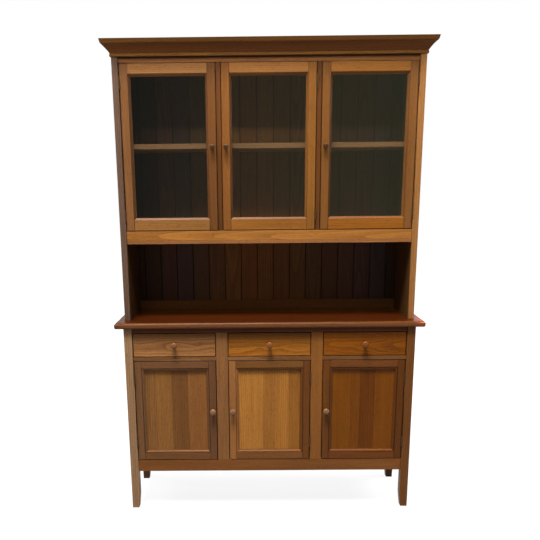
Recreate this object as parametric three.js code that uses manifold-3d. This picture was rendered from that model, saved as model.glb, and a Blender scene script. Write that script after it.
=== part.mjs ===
// A step back cupboard: a base cabinet on four legs with three drawers over three panelled
// doors, and a shallower upper cabinet with three glazed doors over an open display bay.
// Millimetres, +Z up. The front faces -Y, and left and right are as seen from the front.
import * as THREE from "three";
import { mergeVertices } from "three/addons/utils/BufferGeometryUtils.js";
import Module from "manifold-3d";

const wasm = await Module();
wasm.setup();

// Overall sizes
const caseWidth = 1300;
const totalHeight = 2072;
const worktopHeight = 898;
const baseDepth = 330;
const upperSetBack = 45;
const bayCount = 3;

// Fits between pieces
const seatGap = 0.2; // glue line or housed face
const reveal = 3; // round each door and drawer front
const runningGap = 0.3; // under a drawer side
const cutOverrun = 2; // how far a cutter reaches past what it cuts

// Legs
const legWidth = 37;
const footTaper = 6; // how much narrower the foot is
const footTaperHeight = 65;
const toeEase = 2.5;

// Base cabinet boards and rails
const underClearance = 185; // floor to the bottom rail
const faceRecess = 5; // rails, doors and drawers behind the legs' front faces
const railDepth = 22;
const topRailHeight = 22;
const bottomRailHeight = 55;
const uprightWidth = 53;
const sidePanelThickness = 16;
const sidePanelInset = 5;
const basePanelThickness = 12; // back panel
const floorThickness = 18;
const deckThickness = 18;
const guideHeight = 20;
const guideClearance = 1;

// Worktop
const worktopThickness = 26;
const worktopFrontOverhang = 15;
const worktopSideOverhang = 37;
const worktopNoseFlat = 8; // between the two roundings of its edge
const noseSteps = 4;

// Drawers
const drawerFrontHeight = 105;
const drawerFrontThickness = 20;
const drawerBoxInset = 1; // the box's sides inside the ends of the front
const drawerBackClearance = 13; // to the back panel
const drawerSideDrop = 22.7; // the box's rim below the front's top edge
const drawerSideThickness = 12;
const drawerBottomThickness = 6;
const drawerBottomRaise = 8;

// Door frames
const doorThickness = 22;
const lowerStileFlat = 31;
const lowerRailFlat = 33;
const ovoloWidth = 14;
const ovoloDepth = 8;
const quirkDepth = 1.5;
const ovoloSteps = 4;
const panelRecess = 10;
const panelThickness = 8;
const panelHousing = 8; // how far a panel goes into its frame
const upperStileFlat = 34;
const upperRailFlat = 45;
const bevelWidth = 9;
const bevelDepth = 8;
const glassRecess = 10;
const glassThickness = 4;
const glassHousing = 6;
const glassSlack = 1; // the pane's edge to the rebate's side

// Knobs
const knobDiameter = 25;
const knobReach = 24;
const upperKnobDiameter = 21;
const upperKnobReach = 20;
const spigotDiameter = 8;
const spigotLength = 12;
const upperKnobRiseShare = 348 / 685; // of the door's height
const knobSides = 16;

// Butt hinges
const hingeLength = 50;
const barrelDiameter = 7;
const barrelStandOff = 0.4; // between the barrel and the door's face
const barrelSides = 12;
const leafThickness = 1.2;
const leafDepth = 18; // behind the door's face
const upperHingeTopInset = 52;
const upperHingeFootInset = 40;
const lowerHingeTopInset = 57;
const lowerHingeFootInset = 62;

// Upper cabinet boards and rails
const upperSideThickness = 26;
const upperFaceRecess = 7; // rails and doors behind the sides' front edges
const upperUprightWidth = 18;
const upperUprightRecess = 2;
const displayBayHeight = 343;
const upperFloorThickness = 15;
const upperBottomRailHeight = 41;
const headRailHeight = 30;
const topBoardThickness = 18;
const shelfThickness = 22;
const shelfRiseShare = 411 / 732; // of the height from the upper floor to the head rail
const shelfSetBack = 16; // behind the doors' back faces
const backBoardThickness = 15;
const backBoardWidth = 78;
const firstBackBoardWidth = 30;
const boardGrooveWidth = 5;
const boardGrooveDepth = 2.5;
const backRailHeight = 46;
const backRailThickness = 18;

// Cornice
const corniceHeight = 63;
const corniceProjection = 39;
const corniceSeat = 16; // width that rests on top of the case
const corniceLip = 9; // how far it laps down over the case
const filletHeight = 16;
const filletBatter = 4;
const filletStep = 1.5;
const beadHeight = 12;
const beadProjection = 5;
const beadEase = 1.5;
const coveHollow = 4;
const coveSteps = 6;

// Levels above the floor
const worktopUnderside = worktopHeight - worktopThickness;
const drawerBayTop = worktopUnderside - topRailHeight;
const deckTop = drawerBayTop - drawerFrontHeight - 2 * reveal;
const deckUnderside = deckTop - deckThickness;
const doorBayBottom = underClearance + bottomRailHeight;
const corniceBottom = totalHeight - corniceHeight;
const upperCaseTop = corniceBottom + corniceLip;
const glazedBayTop = upperCaseTop - headRailHeight;
const upperFloorUnderside = worktopHeight + displayBayHeight;
const upperFloorTop = upperFloorUnderside + upperFloorThickness;
const glazedBayBottom = upperFloorTop + upperBottomRailHeight;
const shelfTop = upperFloorTop + shelfRiseShare * (glazedBayTop - upperFloorTop);

// Distances from the middle and from the legs' front faces
const halfCase = caseWidth / 2;
const legInner = halfCase - legWidth;
const panelInner = halfCase - sidePanelInset - sidePanelThickness;
const upperInner = halfCase - upperSideThickness;
const railBack = faceRecess + railDepth;
const rearLegFront = baseDepth - legWidth;
const basePanelFront = baseDepth - basePanelThickness;
const upperFace = upperSetBack + upperFaceRecess;
const upperRailBack = upperFace + railDepth;
const backBoardFront = baseDepth - backBoardThickness;
const barrelRadius = barrelDiameter / 2;
const axisStandOff = barrelRadius + barrelStandOff;
const drawerBoxBack = basePanelFront - drawerBackClearance - faceRecess; // from the front's face

const timber = { color: 0x7a5230, roughness: 0.45, metalness: 0 };
const doorTimber = { color: 0x98683d, roughness: 0.45, metalness: 0 };
const panelTimber = { color: 0x84562c, roughness: 0.45, metalness: 0 };
const worktopTimber = { color: 0x6f3f22, roughness: 0.35, metalness: 0 };
const backTimber = { color: 0x5a3a22, roughness: 0.5, metalness: 0 };
const knobTimber = { color: 0x6e4a33, roughness: 0.35, metalness: 0 };
const clearGlass = { color: 0x9fb0a8, roughness: 0.05, metalness: 0, transparent: true, opacity: 0.3 };
const darkBronze = { color: 0x3c2e22, roughness: 0.4, metalness: 0.9 };

function piece(name, geometry, finish) {
  const mesh = new THREE.Mesh(geometry, new THREE.MeshStandardMaterial({ ...finish, flatShading: true }));
  mesh.name = name;
  return mesh;
}

function solidOf(geometry) {
  const bare = geometry.clone();
  bare.deleteAttribute("normal");
  bare.deleteAttribute("uv");
  const merged = mergeVertices(bare);
  const mesh = new wasm.Mesh({
    numProp: 3,
    vertProperties: new Float32Array(merged.attributes.position.array),
    triVerts: new Uint32Array(merged.index.array),
  });
  return new wasm.Manifold(mesh);
}

function geometryOf(solid) {
  const mesh = solid.getMesh();
  const geometry = new THREE.BufferGeometry();
  geometry.setAttribute("position", new THREE.BufferAttribute(mesh.vertProperties, 3));
  geometry.setIndex(new THREE.BufferAttribute(mesh.triVerts, 1));
  return geometry;
}

function cut(geometry, tools) {
  let solid = solidOf(geometry);
  for (const tool of tools) {
    solid = solid.subtract(solidOf(tool));
  }
  return geometryOf(solid);
}

function join(geometries) {
  let solid = solidOf(geometries[0]);
  for (const other of geometries.slice(1)) {
    solid = solid.add(solidOf(other));
  }
  return geometryOf(solid);
}

function block([x0, x1], [y0, y1], [z0, z1]) {
  const geometry = new THREE.BoxGeometry(x1 - x0, y1 - y0, z1 - z0);
  return geometry.translate((x0 + x1) / 2, (y0 + y1) / 2, (z0 + z1) / 2);
}

// A board cut to a plan outline, between two levels.
function board(outline, [low, high]) {
  const shape = new THREE.Shape(outline.map(([x, y]) => new THREE.Vector2(x, y)));
  const geometry = new THREE.ExtrudeGeometry(shape, { depth: high - low, bevelEnabled: false });
  return geometry.translate(0, 0, low);
}

// A closed body through a row of matching rings of points, its two ends capped by the outline's own faces.
function through(rings, outline) {
  const count = outline.length;
  const last = (rings.length - 1) * count;
  const faces = [];
  for (let start = 0; start < last; start += count) {
    for (let i = 0; i < count; i += 1) {
      const j = (i + 1) % count;
      faces.push(start + i, start + j, start + count + j);
      faces.push(start + i, start + count + j, start + count + i);
    }
  }
  const capFaces = THREE.ShapeUtils.triangulateShape(outline, []);
  for (const [a, b, c] of capFaces) {
    faces.push(c, b, a);
    faces.push(last + a, last + b, last + c);
  }
  const geometry = new THREE.BufferGeometry();
  geometry.setAttribute("position", new THREE.Float32BufferAttribute(rings.flat(2), 3));
  geometry.setIndex(faces);
  return geometry;
}

const squareOutline = [
  new THREE.Vector2(0, 0),
  new THREE.Vector2(1, 0),
  new THREE.Vector2(1, 1),
  new THREE.Vector2(0, 1),
];

// A body of level rectangles, each given as its x range, y range and height.
function stack(levels) {
  const rings = levels.map(({ x: [x0, x1], y: [y0, y1], z }) => [
    [x0, y0, z],
    [x1, y0, z],
    [x1, y1, z],
    [x0, y1, z],
  ]);
  return through(rings, squareOutline);
}

// The same with upright rectangles, for a hollow that narrows from the front to the back.
function frontStack(levels) {
  const rings = levels.map(({ x: [x0, x1], z: [z0, z1], y }) => [
    [x0, y, z0],
    [x0, y, z1],
    [x1, y, z1],
    [x1, y, z0],
  ]);
  return through(rings, squareOutline);
}

// A cylinder that runs from the front to the back.
function frontCylinder(radius, [x, z], [y0, y1], sides) {
  const geometry = new THREE.CylinderGeometry(radius, radius, y1 - y0, sides);
  return geometry.translate(x, (y0 + y1) / 2, z);
}

// An upright cylinder.
function uprightCylinder(radius, [x, y], [z0, z1], sides) {
  const geometry = new THREE.CylinderGeometry(radius, radius, z1 - z0, sides);
  return geometry.rotateX(Math.PI / 2).translate(x, y, (z0 + z1) / 2);
}

// The x ranges of equal bays between two end faces, with uprights between them.
function baysBetween(inner, upright) {
  const width = (2 * inner - (bayCount - 1) * upright) / bayCount;
  const starts = Array.from({ length: bayCount }, (_, i) => -inner + i * (width + upright));
  return starts.map((start) => [start, start + width]);
}

const lowerBays = baysBetween(legInner, uprightWidth);
const upperBays = baysBetween(upperInner, upperUprightWidth);
const bayNames = ["left", "middle", "right"];
const hungOnRight = [false, true, true];

// Where a door's two hinges sit: the axis, the face of the post that carries them, and their heights.
function hingePlaces(bay, onRight, face, [low, high], [footInset, topInset]) {
  const post = onRight ? bay[1] : bay[0];
  const inward = onRight ? -1 : 1;
  const axis = [post + (inward * reveal) / 2, face - axisStandOff];
  const lower = low + reveal + footInset;
  const upper = high - reveal - topInset - hingeLength;
  return [lower, upper].map((z) => ({ axis, post, inward, heights: [z, z + hingeLength] }));
}

const lowerHinges = lowerBays.map((bay, i) =>
  hingePlaces(
    bay,
    hungOnRight[i],
    faceRecess,
    [doorBayBottom, deckUnderside],
    [lowerHingeFootInset, lowerHingeTopInset],
  ),
);
const upperHinges = upperBays.map((bay, i) =>
  hingePlaces(
    bay,
    hungOnRight[i],
    upperFace,
    [glazedBayBottom, glazedBayTop],
    [upperHingeFootInset, upperHingeTopInset],
  ),
);

// One fixed leaf with the barrel and pin, the leaf flat against its post.
function hingeGeometry({ axis: [x, y], post, inward, heights }, face) {
  const barrel = uprightCylinder(barrelRadius, [x, y], heights, barrelSides);
  const near = post + inward * seatGap;
  const far = near + inward * leafThickness;
  const leaf = block([Math.min(near, far), Math.max(near, far)], [y, face + leafDepth], heights);
  return join([barrel, leaf]);
}

// Hollows in a post that give the barrels room beside a face that stands proud of the door.
function barrelHollows(places) {
  return places.map(({ axis, heights: [low, high] }) =>
    uprightCylinder(axisStandOff, axis, [low - barrelStandOff, high + barrelStandOff], barrelSides),
  );
}

function addHinges(group, prefix, hinges, face) {
  hinges.forEach((places, i) => {
    places.forEach((place, k) => {
      const end = k === 0 ? "lower" : "upper";
      const name = `${prefix}_hinge_${bayNames[i]}_${end}`;
      group.add(piece(name, hingeGeometry(place, face), darkBronze));
    });
  });
}

// A leg with its two inner faces tapered to the foot. side and end are -1 or 1: left or right, front or rear.
function legGeometry(side, end) {
  const outerX = side * halfCase;
  const outerY = end < 0 ? 0 : baseDepth;
  const towards = (outer, way, width) => [outer, outer - way * width].sort((a, b) => a - b);
  const level = (width, z) => ({
    x: towards(outerX, side, width),
    y: towards(outerY, end, width),
    z,
  });
  const foot = level(legWidth - footTaper, toeEase);
  const sole = {
    x: [foot.x[0] + toeEase, foot.x[1] - toeEase],
    y: [foot.y[0] + toeEase, foot.y[1] - toeEase],
    z: 0,
  };
  return stack([sole, foot, level(legWidth, footTaperHeight), level(legWidth, worktopUnderside - seatGap)]);
}

function addLegs(group) {
  const leftHollows = barrelHollows(lowerHinges[0]);
  const rightHollows = barrelHollows(lowerHinges[bayCount - 1]);
  group.add(piece("leg_front_left", cut(legGeometry(-1, -1), leftHollows), timber));
  group.add(piece("leg_front_right", cut(legGeometry(1, -1), rightHollows), timber));
  group.add(piece("leg_rear_left", legGeometry(-1, 1), timber));
  group.add(piece("leg_rear_right", legGeometry(1, 1), timber));
}

function addBasePanels(group) {
  const outer = halfCase - sidePanelInset;
  const alongY = [legWidth + seatGap, rearLegFront - seatGap];
  const height = [underClearance, worktopUnderside - seatGap];
  group.add(piece("base_side_left", block([-outer, -panelInner], alongY, height), timber));
  group.add(piece("base_side_right", block([panelInner, outer], alongY, height), timber));
  const inner = legInner - seatGap;
  group.add(piece("base_back", block([-inner, inner], [basePanelFront, baseDepth], height), backTimber));
}

function addBaseRails(group) {
  const alongX = [-legInner + seatGap, legInner - seatGap];
  const alongY = [faceRecess, railBack];
  const top = [drawerBayTop, worktopUnderside - seatGap];
  group.add(piece("base_top_rail", block(alongX, alongY, top), timber));
  group.add(piece("base_bottom_rail", block(alongX, alongY, [underClearance, doorBayBottom]), timber));
  const upright = [doorBayBottom + seatGap, drawerBayTop - seatGap];
  const left = [lowerBays[0][1], lowerBays[1][0]];
  const right = [lowerBays[1][1], lowerBays[2][0]];
  group.add(piece("base_upright_left", block(left, alongY, upright), timber));
  group.add(piece("base_upright_right", block(right, alongY, upright), timber));
}

// The plan of a board behind the rails that reaches the side panels between the legs.
function betweenLegsPlan() {
  const narrow = legInner - seatGap;
  const wide = panelInner - seatGap;
  const front = railBack + seatGap;
  const back = basePanelFront - seatGap;
  const legBack = legWidth + seatGap;
  const legFront = rearLegFront - seatGap;
  return [
    [-narrow, front],
    [narrow, front],
    [narrow, legBack],
    [wide, legBack],
    [wide, legFront],
    [narrow, legFront],
    [narrow, back],
    [-narrow, back],
    [-narrow, legFront],
    [-wide, legFront],
    [-wide, legBack],
    [-narrow, legBack],
  ];
}

// The strips on the deck that keep the drawers straight, by the bays' edges.
function drawerGuides() {
  const boxInset = reveal + drawerBoxInset;
  const into = boxInset - guideClearance;
  const height = [deckTop - cutOverrun, deckTop + guideHeight];
  const back = basePanelFront - seatGap;
  const between = lowerBays.slice(1).map((bay, i) =>
    block([lowerBays[i][1] - into, bay[0] + into], [railBack + seatGap, back], height),
  );
  const wall = panelInner - seatGap;
  const atSide = [legWidth + seatGap, rearLegFront - seatGap];
  const left = block([-wall, -legInner + into], atSide, height);
  const right = block([legInner - into, wall], atSide, height);
  return [left, ...between, right];
}

function addBoards(group) {
  const plan = betweenLegsPlan();
  group.add(piece("base_floor", board(plan, [doorBayBottom - floorThickness, doorBayBottom]), timber));
  const deck = board(plan, [deckUnderside, deckTop]);
  const tongues = lowerBays.map(([x0, x1]) =>
    block(
      [x0 + seatGap, x1 - seatGap],
      [faceRecess, railBack + cutOverrun],
      [deckUnderside, deckTop],
    ),
  );
  group.add(piece("drawer_deck", join([deck, ...tongues, ...drawerGuides()]), timber));
}

// A board with a rounded nose along its front and both ends, and a square back edge.
function worktopGeometry() {
  const side = halfCase + worktopSideOverhang;
  const radius = (worktopThickness - worktopNoseFlat) / 2;
  const level = (turn, z) => {
    const inset = radius * (1 - Math.sin(turn));
    return {
      x: [-side + inset, side - inset],
      y: [-worktopFrontOverhang + inset, baseDepth],
      z,
    };
  };
  const turns = Array.from({ length: noseSteps + 1 }, (_, i) => (Math.PI / 2) * (i / noseSteps));
  const rise = (turn) => radius * (1 - Math.cos(turn));
  const lower = turns.map((turn) => level(turn, worktopUnderside + rise(turn)));
  const upper = turns.map((turn) => level(turn, worktopHeight - rise(turn)));
  return stack([...lower, ...upper.reverse()]);
}

// Radius and reach of a turned knob's profile, as shares of its own radius and reach.
const knobProfileShares = [
  [0.62, 0],
  [0.64, 0.07],
  [0.5, 0.16],
  [0.42, 0.32],
  [0.48, 0.46],
  [0.84, 0.56],
  [1, 0.7],
  [0.94, 0.85],
  [0.66, 0.96],
  [0, 1],
];

// A knob whose spigot is glued into a hole behind it. Its seat is at y = 0, and it reaches to -y.
function knobGeometry(diameter, reach) {
  const spigot = spigotDiameter / 2;
  const spigotPoints = [
    [0, -spigotLength],
    [spigot, -spigotLength],
    [spigot, seatGap],
  ];
  const turned = knobProfileShares.map(([radiusShare, reachShare]) => [
    (radiusShare * diameter) / 2,
    seatGap + reachShare * (reach - seatGap),
  ]);
  const points = [...spigotPoints, ...turned].map(([r, h]) => new THREE.Vector2(r, h));
  return new THREE.LatheGeometry(points, knobSides).rotateX(Math.PI);
}

function addKnob(group, name, [x, z], diameter, reach) {
  const knob = piece(name, knobGeometry(diameter, reach), knobTimber);
  knob.position.set(x, 0, z);
  group.add(knob);
}

function spigotHole(place) {
  const depth = spigotLength + seatGap;
  return frontCylinder(spigotDiameter / 2 + seatGap, place, [-cutOverrun, depth], knobSides);
}

// A drawer, glued up in one: front, two sides, back and a bottom let in above the sides' lower edges.
function drawerGeometry(width) {
  const front = block([0, width], [0, drawerFrontThickness], [0, drawerFrontHeight]);
  const low = runningGap - reveal;
  const high = drawerFrontHeight - drawerSideDrop;
  const outer = [drawerBoxInset, width - drawerBoxInset];
  const inner = [outer[0] + drawerSideThickness, outer[1] - drawerSideThickness];
  const box = block(outer, [drawerFrontThickness - cutOverrun, drawerBoxBack], [low, high]);
  const bottom = low + drawerBottomRaise;
  const inside = block(
    inner,
    [drawerFrontThickness, drawerBoxBack - drawerSideThickness],
    [bottom + drawerBottomThickness, high + cutOverrun],
  );
  const beneath = block(
    inner,
    [drawerFrontThickness, drawerBoxBack + cutOverrun],
    [low - cutOverrun, bottom],
  );
  return cut(join([front, box]), [inside, beneath, spigotHole([width / 2, drawerFrontHeight / 2])]);
}

function drawer(bayIndex) {
  const [x0, x1] = lowerBays[bayIndex];
  const width = x1 - x0 - 2 * reveal;
  const name = `drawer_${bayNames[bayIndex]}`;
  const group = new THREE.Group();
  group.position.set(x0 + reveal, faceRecess, deckTop + reveal);
  group.add(piece(name, drawerGeometry(width), panelTimber));
  addKnob(group, `${name}_knob`, [width / 2, drawerFrontHeight / 2], knobDiameter, knobReach);
  return group;
}

// The window left inside a door frame, as x and z ranges.
function windowOf({ width, height, stile, rail }) {
  return { x: [stile, width - stile], z: [rail, height - rail] };
}

function widened({ x: [x0, x1], z: [z0, z1] }, by) {
  return { x: [x0 - by, x1 + by], z: [z0 - by, z1 + by] };
}

// The hollow of an ovolo moulding round a window: a small quirk, then a quarter round down to the window.
function ovoloHollow(opening) {
  const levels = [{ ...widened(opening, ovoloWidth), y: -cutOverrun }];
  for (let i = 0; i <= ovoloSteps; i += 1) {
    const turn = (Math.PI / 2) * (i / ovoloSteps);
    const spread = ovoloWidth * (1 - Math.sin(turn));
    const depth = ovoloDepth - (ovoloDepth - quirkDepth) * Math.cos(turn);
    levels.push({ ...widened(opening, spread), y: depth });
  }
  levels.push({ ...opening, y: doorThickness + cutOverrun });
  return frontStack(levels);
}

// The hollow of a plain bevel round a window.
function bevelHollow(opening) {
  const overrunShare = cutOverrun / bevelDepth;
  return frontStack([
    { ...widened(opening, bevelWidth * (1 + overrunShare)), y: -cutOverrun },
    { ...opening, y: bevelDepth },
    { ...opening, y: doorThickness + cutOverrun },
  ]);
}

function addFramedDoor(group, name, door, knobPlace, knob, fill) {
  const opening = windowOf(door);
  const slab = block([0, door.width], [0, doorThickness], [0, door.height]);
  const frame = cut(slab, [...fill.hollows(opening), spigotHole(knobPlace)]);
  group.add(piece(`${name}_frame`, frame, doorTimber));
  const { x, z } = widened(opening, fill.housing - fill.slack);
  const sheet = block(x, [fill.recess, fill.recess + fill.thickness], z);
  group.add(piece(`${name}_${fill.name}`, sheet, fill.finish));
  addKnob(group, `${name}_knob`, knobPlace, knob.diameter, knob.reach);
}

const panelFill = {
  name: "panel",
  finish: panelTimber,
  recess: panelRecess,
  thickness: panelThickness,
  housing: panelHousing,
  slack: seatGap,
  hollows(opening) {
    const { x, z } = widened(opening, panelHousing);
    const groove = [panelRecess - seatGap, panelRecess + panelThickness + seatGap];
    return [ovoloHollow(opening), block(x, groove, z)];
  },
};

const glassFill = {
  name: "glass",
  finish: clearGlass,
  recess: glassRecess,
  thickness: glassThickness,
  housing: glassHousing,
  slack: glassSlack,
  hollows(opening) {
    const { x, z } = widened(opening, glassHousing);
    const rebate = [glassRecess - seatGap, doorThickness + cutOverrun];
    return [bevelHollow(opening), block(x, rebate, z)];
  },
};

function lowerDoor(bayIndex) {
  const [x0, x1] = lowerBays[bayIndex];
  const door = {
    width: x1 - x0 - 2 * reveal,
    height: deckUnderside - doorBayBottom - 2 * reveal,
    stile: lowerStileFlat + ovoloWidth,
    rail: lowerRailFlat + ovoloWidth,
  };
  const fromEdge = lowerStileFlat / 2;
  const knobPlace = [hungOnRight[bayIndex] ? fromEdge : door.width - fromEdge, door.height / 2];
  const group = new THREE.Group();
  group.position.set(x0 + reveal, faceRecess, doorBayBottom + reveal);
  const knob = { diameter: knobDiameter, reach: knobReach };
  addFramedDoor(group, `lower_door_${bayNames[bayIndex]}`, door, knobPlace, knob, panelFill);
  return group;
}

function upperDoor(bayIndex) {
  const [x0, x1] = upperBays[bayIndex];
  const door = {
    width: x1 - x0 - 2 * reveal,
    height: glazedBayTop - glazedBayBottom - 2 * reveal,
    stile: upperStileFlat + bevelWidth,
    rail: upperRailFlat + bevelWidth,
  };
  const fromEdge = upperStileFlat / 2;
  const knobX = hungOnRight[bayIndex] ? fromEdge : door.width - fromEdge;
  const knobPlace = [knobX, upperKnobRiseShare * door.height];
  const group = new THREE.Group();
  group.position.set(x0 + reveal, upperFace, glazedBayBottom + reveal);
  const knob = { diameter: upperKnobDiameter, reach: upperKnobReach };
  addFramedDoor(group, `upper_door_${bayNames[bayIndex]}`, door, knobPlace, knob, glassFill);
  return group;
}

function addUpperSides(group) {
  const alongY = [upperSetBack, baseDepth];
  const height = [worktopHeight + seatGap, upperCaseTop - seatGap];
  const left = block([-halfCase, -upperInner], alongY, height);
  const right = block([upperInner, halfCase], alongY, height);
  group.add(piece("upper_side_left", cut(left, barrelHollows(upperHinges[0])), timber));
  group.add(piece("upper_side_right", cut(right, barrelHollows(upperHinges[bayCount - 1])), timber));
}

function addUpperBoards(group) {
  const inner = upperInner - seatGap;
  const alongX = [-inner, inner];
  const back = backBoardFront - seatGap;
  const top = upperCaseTop - seatGap;
  const headRail = block(alongX, [upperFace, upperRailBack], [glazedBayTop, top]);
  const topBoard = block(alongX, [upperFace, back], [top - topBoardThickness, top]);
  group.add(piece("upper_top", join([headRail, topBoard]), timber));
  const floor = block(alongX, [upperFace, back], [upperFloorUnderside, upperFloorTop]);
  group.add(piece("upper_floor", floor, timber));
  const shelfFront = upperFace + doorThickness + shelfSetBack;
  const shelf = block(alongX, [shelfFront, back], [shelfTop - shelfThickness, shelfTop]);
  group.add(piece("upper_shelf", shelf, timber));
}

function addUpperRails(group) {
  const inner = upperInner - seatGap;
  const rail = block(
    [-inner, inner],
    [upperFace, upperRailBack],
    [upperFloorTop + seatGap, glazedBayBottom],
  );
  group.add(piece("upper_bottom_rail", rail, doorTimber));
  const alongY = [upperFace + upperUprightRecess, upperRailBack];
  const height = [glazedBayBottom + seatGap, glazedBayTop - seatGap];
  const left = block([upperBays[0][1], upperBays[1][0]], alongY, height);
  const right = block([upperBays[1][1], upperBays[2][0]], alongY, height);
  group.add(piece("upper_upright_left", left, timber));
  group.add(piece("upper_upright_right", right, timber));
}

// Tongued and grooved boards seen in plan, with a V groove along each joint.
function backBoardPlan() {
  const inner = upperInner - seatGap;
  const points = [[-inner, backBoardFront]];
  const half = boardGrooveWidth / 2;
  for (let x = -upperInner + firstBackBoardWidth; x < inner - half; x += backBoardWidth) {
    points.push([x - half, backBoardFront]);
    points.push([x, backBoardFront + boardGrooveDepth]);
    points.push([x + half, backBoardFront]);
  }
  points.push([inner, backBoardFront], [inner, baseDepth], [-inner, baseDepth]);
  return points;
}

function addUpperBack(group) {
  const inner = upperInner - seatGap;
  const railTop = worktopHeight + backRailHeight;
  const boards = board(backBoardPlan(), [railTop - cutOverrun, upperCaseTop - seatGap]);
  const rail = block(
    [-inner, inner],
    [baseDepth - backRailThickness, baseDepth],
    [worktopHeight + seatGap, railTop],
  );
  group.add(piece("upper_back", join([boards, rail]), backTimber));
}

// Points along a hollow arc between two points, by how deep the hollow is at its middle.
function hollowArc([p0, z0], [p1, z1], depth, steps) {
  const length = Math.hypot(p1 - p0, z1 - z0);
  const [nx, nz] = [(z1 - z0) / length, -(p1 - p0) / length];
  return Array.from({ length: steps + 1 }, (_, i) => {
    const share = i / steps;
    const bow = -4 * depth * share * (1 - share);
    return [p0 + share * (p1 - p0) + bow * nx, z0 + share * (z1 - z0) + bow * nz];
  });
}

// The cornice's section: projection from the case, and height.
function corniceSection() {
  const low = corniceBottom;
  const beadTop = low + beadHeight;
  const filletFoot = totalHeight - filletHeight;
  const filletFootReach = corniceProjection - filletBatter;
  const coveFoot = [beadProjection - beadEase, beadTop];
  const coveHead = [filletFootReach - filletStep, filletFoot - filletStep];
  return [
    [seatGap, low],
    [beadProjection - beadEase, low],
    [beadProjection, low + beadEase],
    [beadProjection, beadTop - beadEase],
    ...hollowArc(coveFoot, coveHead, coveHollow, coveSteps),
    [filletFootReach, filletFoot],
    [corniceProjection, totalHeight],
    [-corniceSeat, totalHeight],
    [-corniceSeat, upperCaseTop],
    [seatGap, upperCaseTop],
  ];
}

// The section carried round the front and both sides, mitred at the front corners.
function corniceGeometry() {
  const section = corniceSection();
  const stations = [
    ([p, z]) => [halfCase + p, baseDepth, z],
    ([p, z]) => [halfCase + p, upperSetBack - p, z],
    ([p, z]) => [-halfCase - p, upperSetBack - p, z],
    ([p, z]) => [-halfCase - p, baseDepth, z],
  ];
  const rings = stations.map((place) => section.map(place));
  return through(rings, section.map(([p, z]) => new THREE.Vector2(p, z)));
}

function baseCabinet() {
  const group = new THREE.Group();
  addLegs(group);
  addBasePanels(group);
  addBaseRails(group);
  addBoards(group);
  addHinges(group, "lower", lowerHinges, faceRecess);
  group.add(piece("worktop", worktopGeometry(), worktopTimber));
  bayNames.forEach((_, i) => group.add(drawer(i), lowerDoor(i)));
  return group;
}

function upperCabinet() {
  const group = new THREE.Group();
  addUpperSides(group);
  addUpperBoards(group);
  addUpperRails(group);
  addUpperBack(group);
  addHinges(group, "upper", upperHinges, upperFace);
  group.add(piece("cornice", corniceGeometry(), timber));
  bayNames.forEach((_, i) => group.add(upperDoor(i)));
  return group;
}

// The origin is on the floor, midway between the furthest points left and right, front and back.
const frontReach = Math.max(worktopFrontOverhang, knobReach - faceRecess);
const cupboard = new THREE.Group();
cupboard.position.y = (frontReach - baseDepth) / 2;
cupboard.add(baseCabinet(), upperCabinet());

export default cupboard;
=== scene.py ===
"""Step back cupboard: a glazed upper cabinet on a panelled base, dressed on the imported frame."""

import logging
import math
import random
from collections.abc import Callable, Iterable, Mapping, Sequence
from dataclasses import dataclass, replace
from enum import Enum
from typing import Any

import bmesh
import bpy
from mathutils import Matrix, Vector


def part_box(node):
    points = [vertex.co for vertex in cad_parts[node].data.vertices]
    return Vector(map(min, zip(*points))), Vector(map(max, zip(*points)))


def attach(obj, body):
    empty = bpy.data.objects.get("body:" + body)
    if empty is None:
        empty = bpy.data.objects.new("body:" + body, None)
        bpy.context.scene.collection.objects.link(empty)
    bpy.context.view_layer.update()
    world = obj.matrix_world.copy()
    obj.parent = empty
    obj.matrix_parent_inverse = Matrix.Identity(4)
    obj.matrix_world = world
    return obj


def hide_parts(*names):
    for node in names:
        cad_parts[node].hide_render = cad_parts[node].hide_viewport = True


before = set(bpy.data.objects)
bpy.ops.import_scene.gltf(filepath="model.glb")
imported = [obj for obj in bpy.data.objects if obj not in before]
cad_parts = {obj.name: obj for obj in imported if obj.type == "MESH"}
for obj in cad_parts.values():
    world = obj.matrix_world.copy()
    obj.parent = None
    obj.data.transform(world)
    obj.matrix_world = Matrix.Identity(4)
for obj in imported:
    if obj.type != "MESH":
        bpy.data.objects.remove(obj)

log = logging.getLogger("cupboard")

MM = 0.001
BAYS = ("left", "middle", "right")
HUNG_ON_RIGHT = {"left": False, "middle": True, "right": True}
RIGHT, DEEP, UP = Vector((1, 0, 0)), Vector((0, 1, 0)), Vector((0, 0, 1))
PLAIN = (1.0, 1.0, 1.0)
MITRED = (1.0, -1.0)  # mitres of a run whose both ends meet another inside a frame
ARRIS = 0.8 * MM
NEAR = 0.01 * MM  # places closer than this are the same
WELD = 0.001 * MM  # points closer than this are made one
ON_PLANE = 0.0001 * MM  # points nearer to a cut than this lie on it
HOLLOW_SIDES = 40

Place = Sequence[float]
Pair = tuple[float, float]
Triple = tuple[float, float, float]
Span = tuple[int, int]
Moulding = tuple[list[Pair], Span, Span]  # a section, where it is curved, and where its colour carries painted light and shade
Shell = bmesh.types.BMesh
Edge = bmesh.types.BMEdge
Socket = bpy.types.NodeSocket
Tree = bpy.types.NodeTree
Tone = Callable[[Vector], Place]  # what red, green and blue are multiplied by at a place


class Axis(Enum):
    """One of the cupboard's own directions: across the front, towards the wall, and up."""

    WIDTH = 0
    DEPTH = 1
    HEIGHT = 2


class Sawn(Enum):
    """How a board was sawn: how far from its middle the log's heart lies, across and through, in metres."""

    QUARTER = (0.30, 0.02)
    RIFT = (0.10, -0.09)
    FLAT = (0.004, -0.058)


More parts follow.
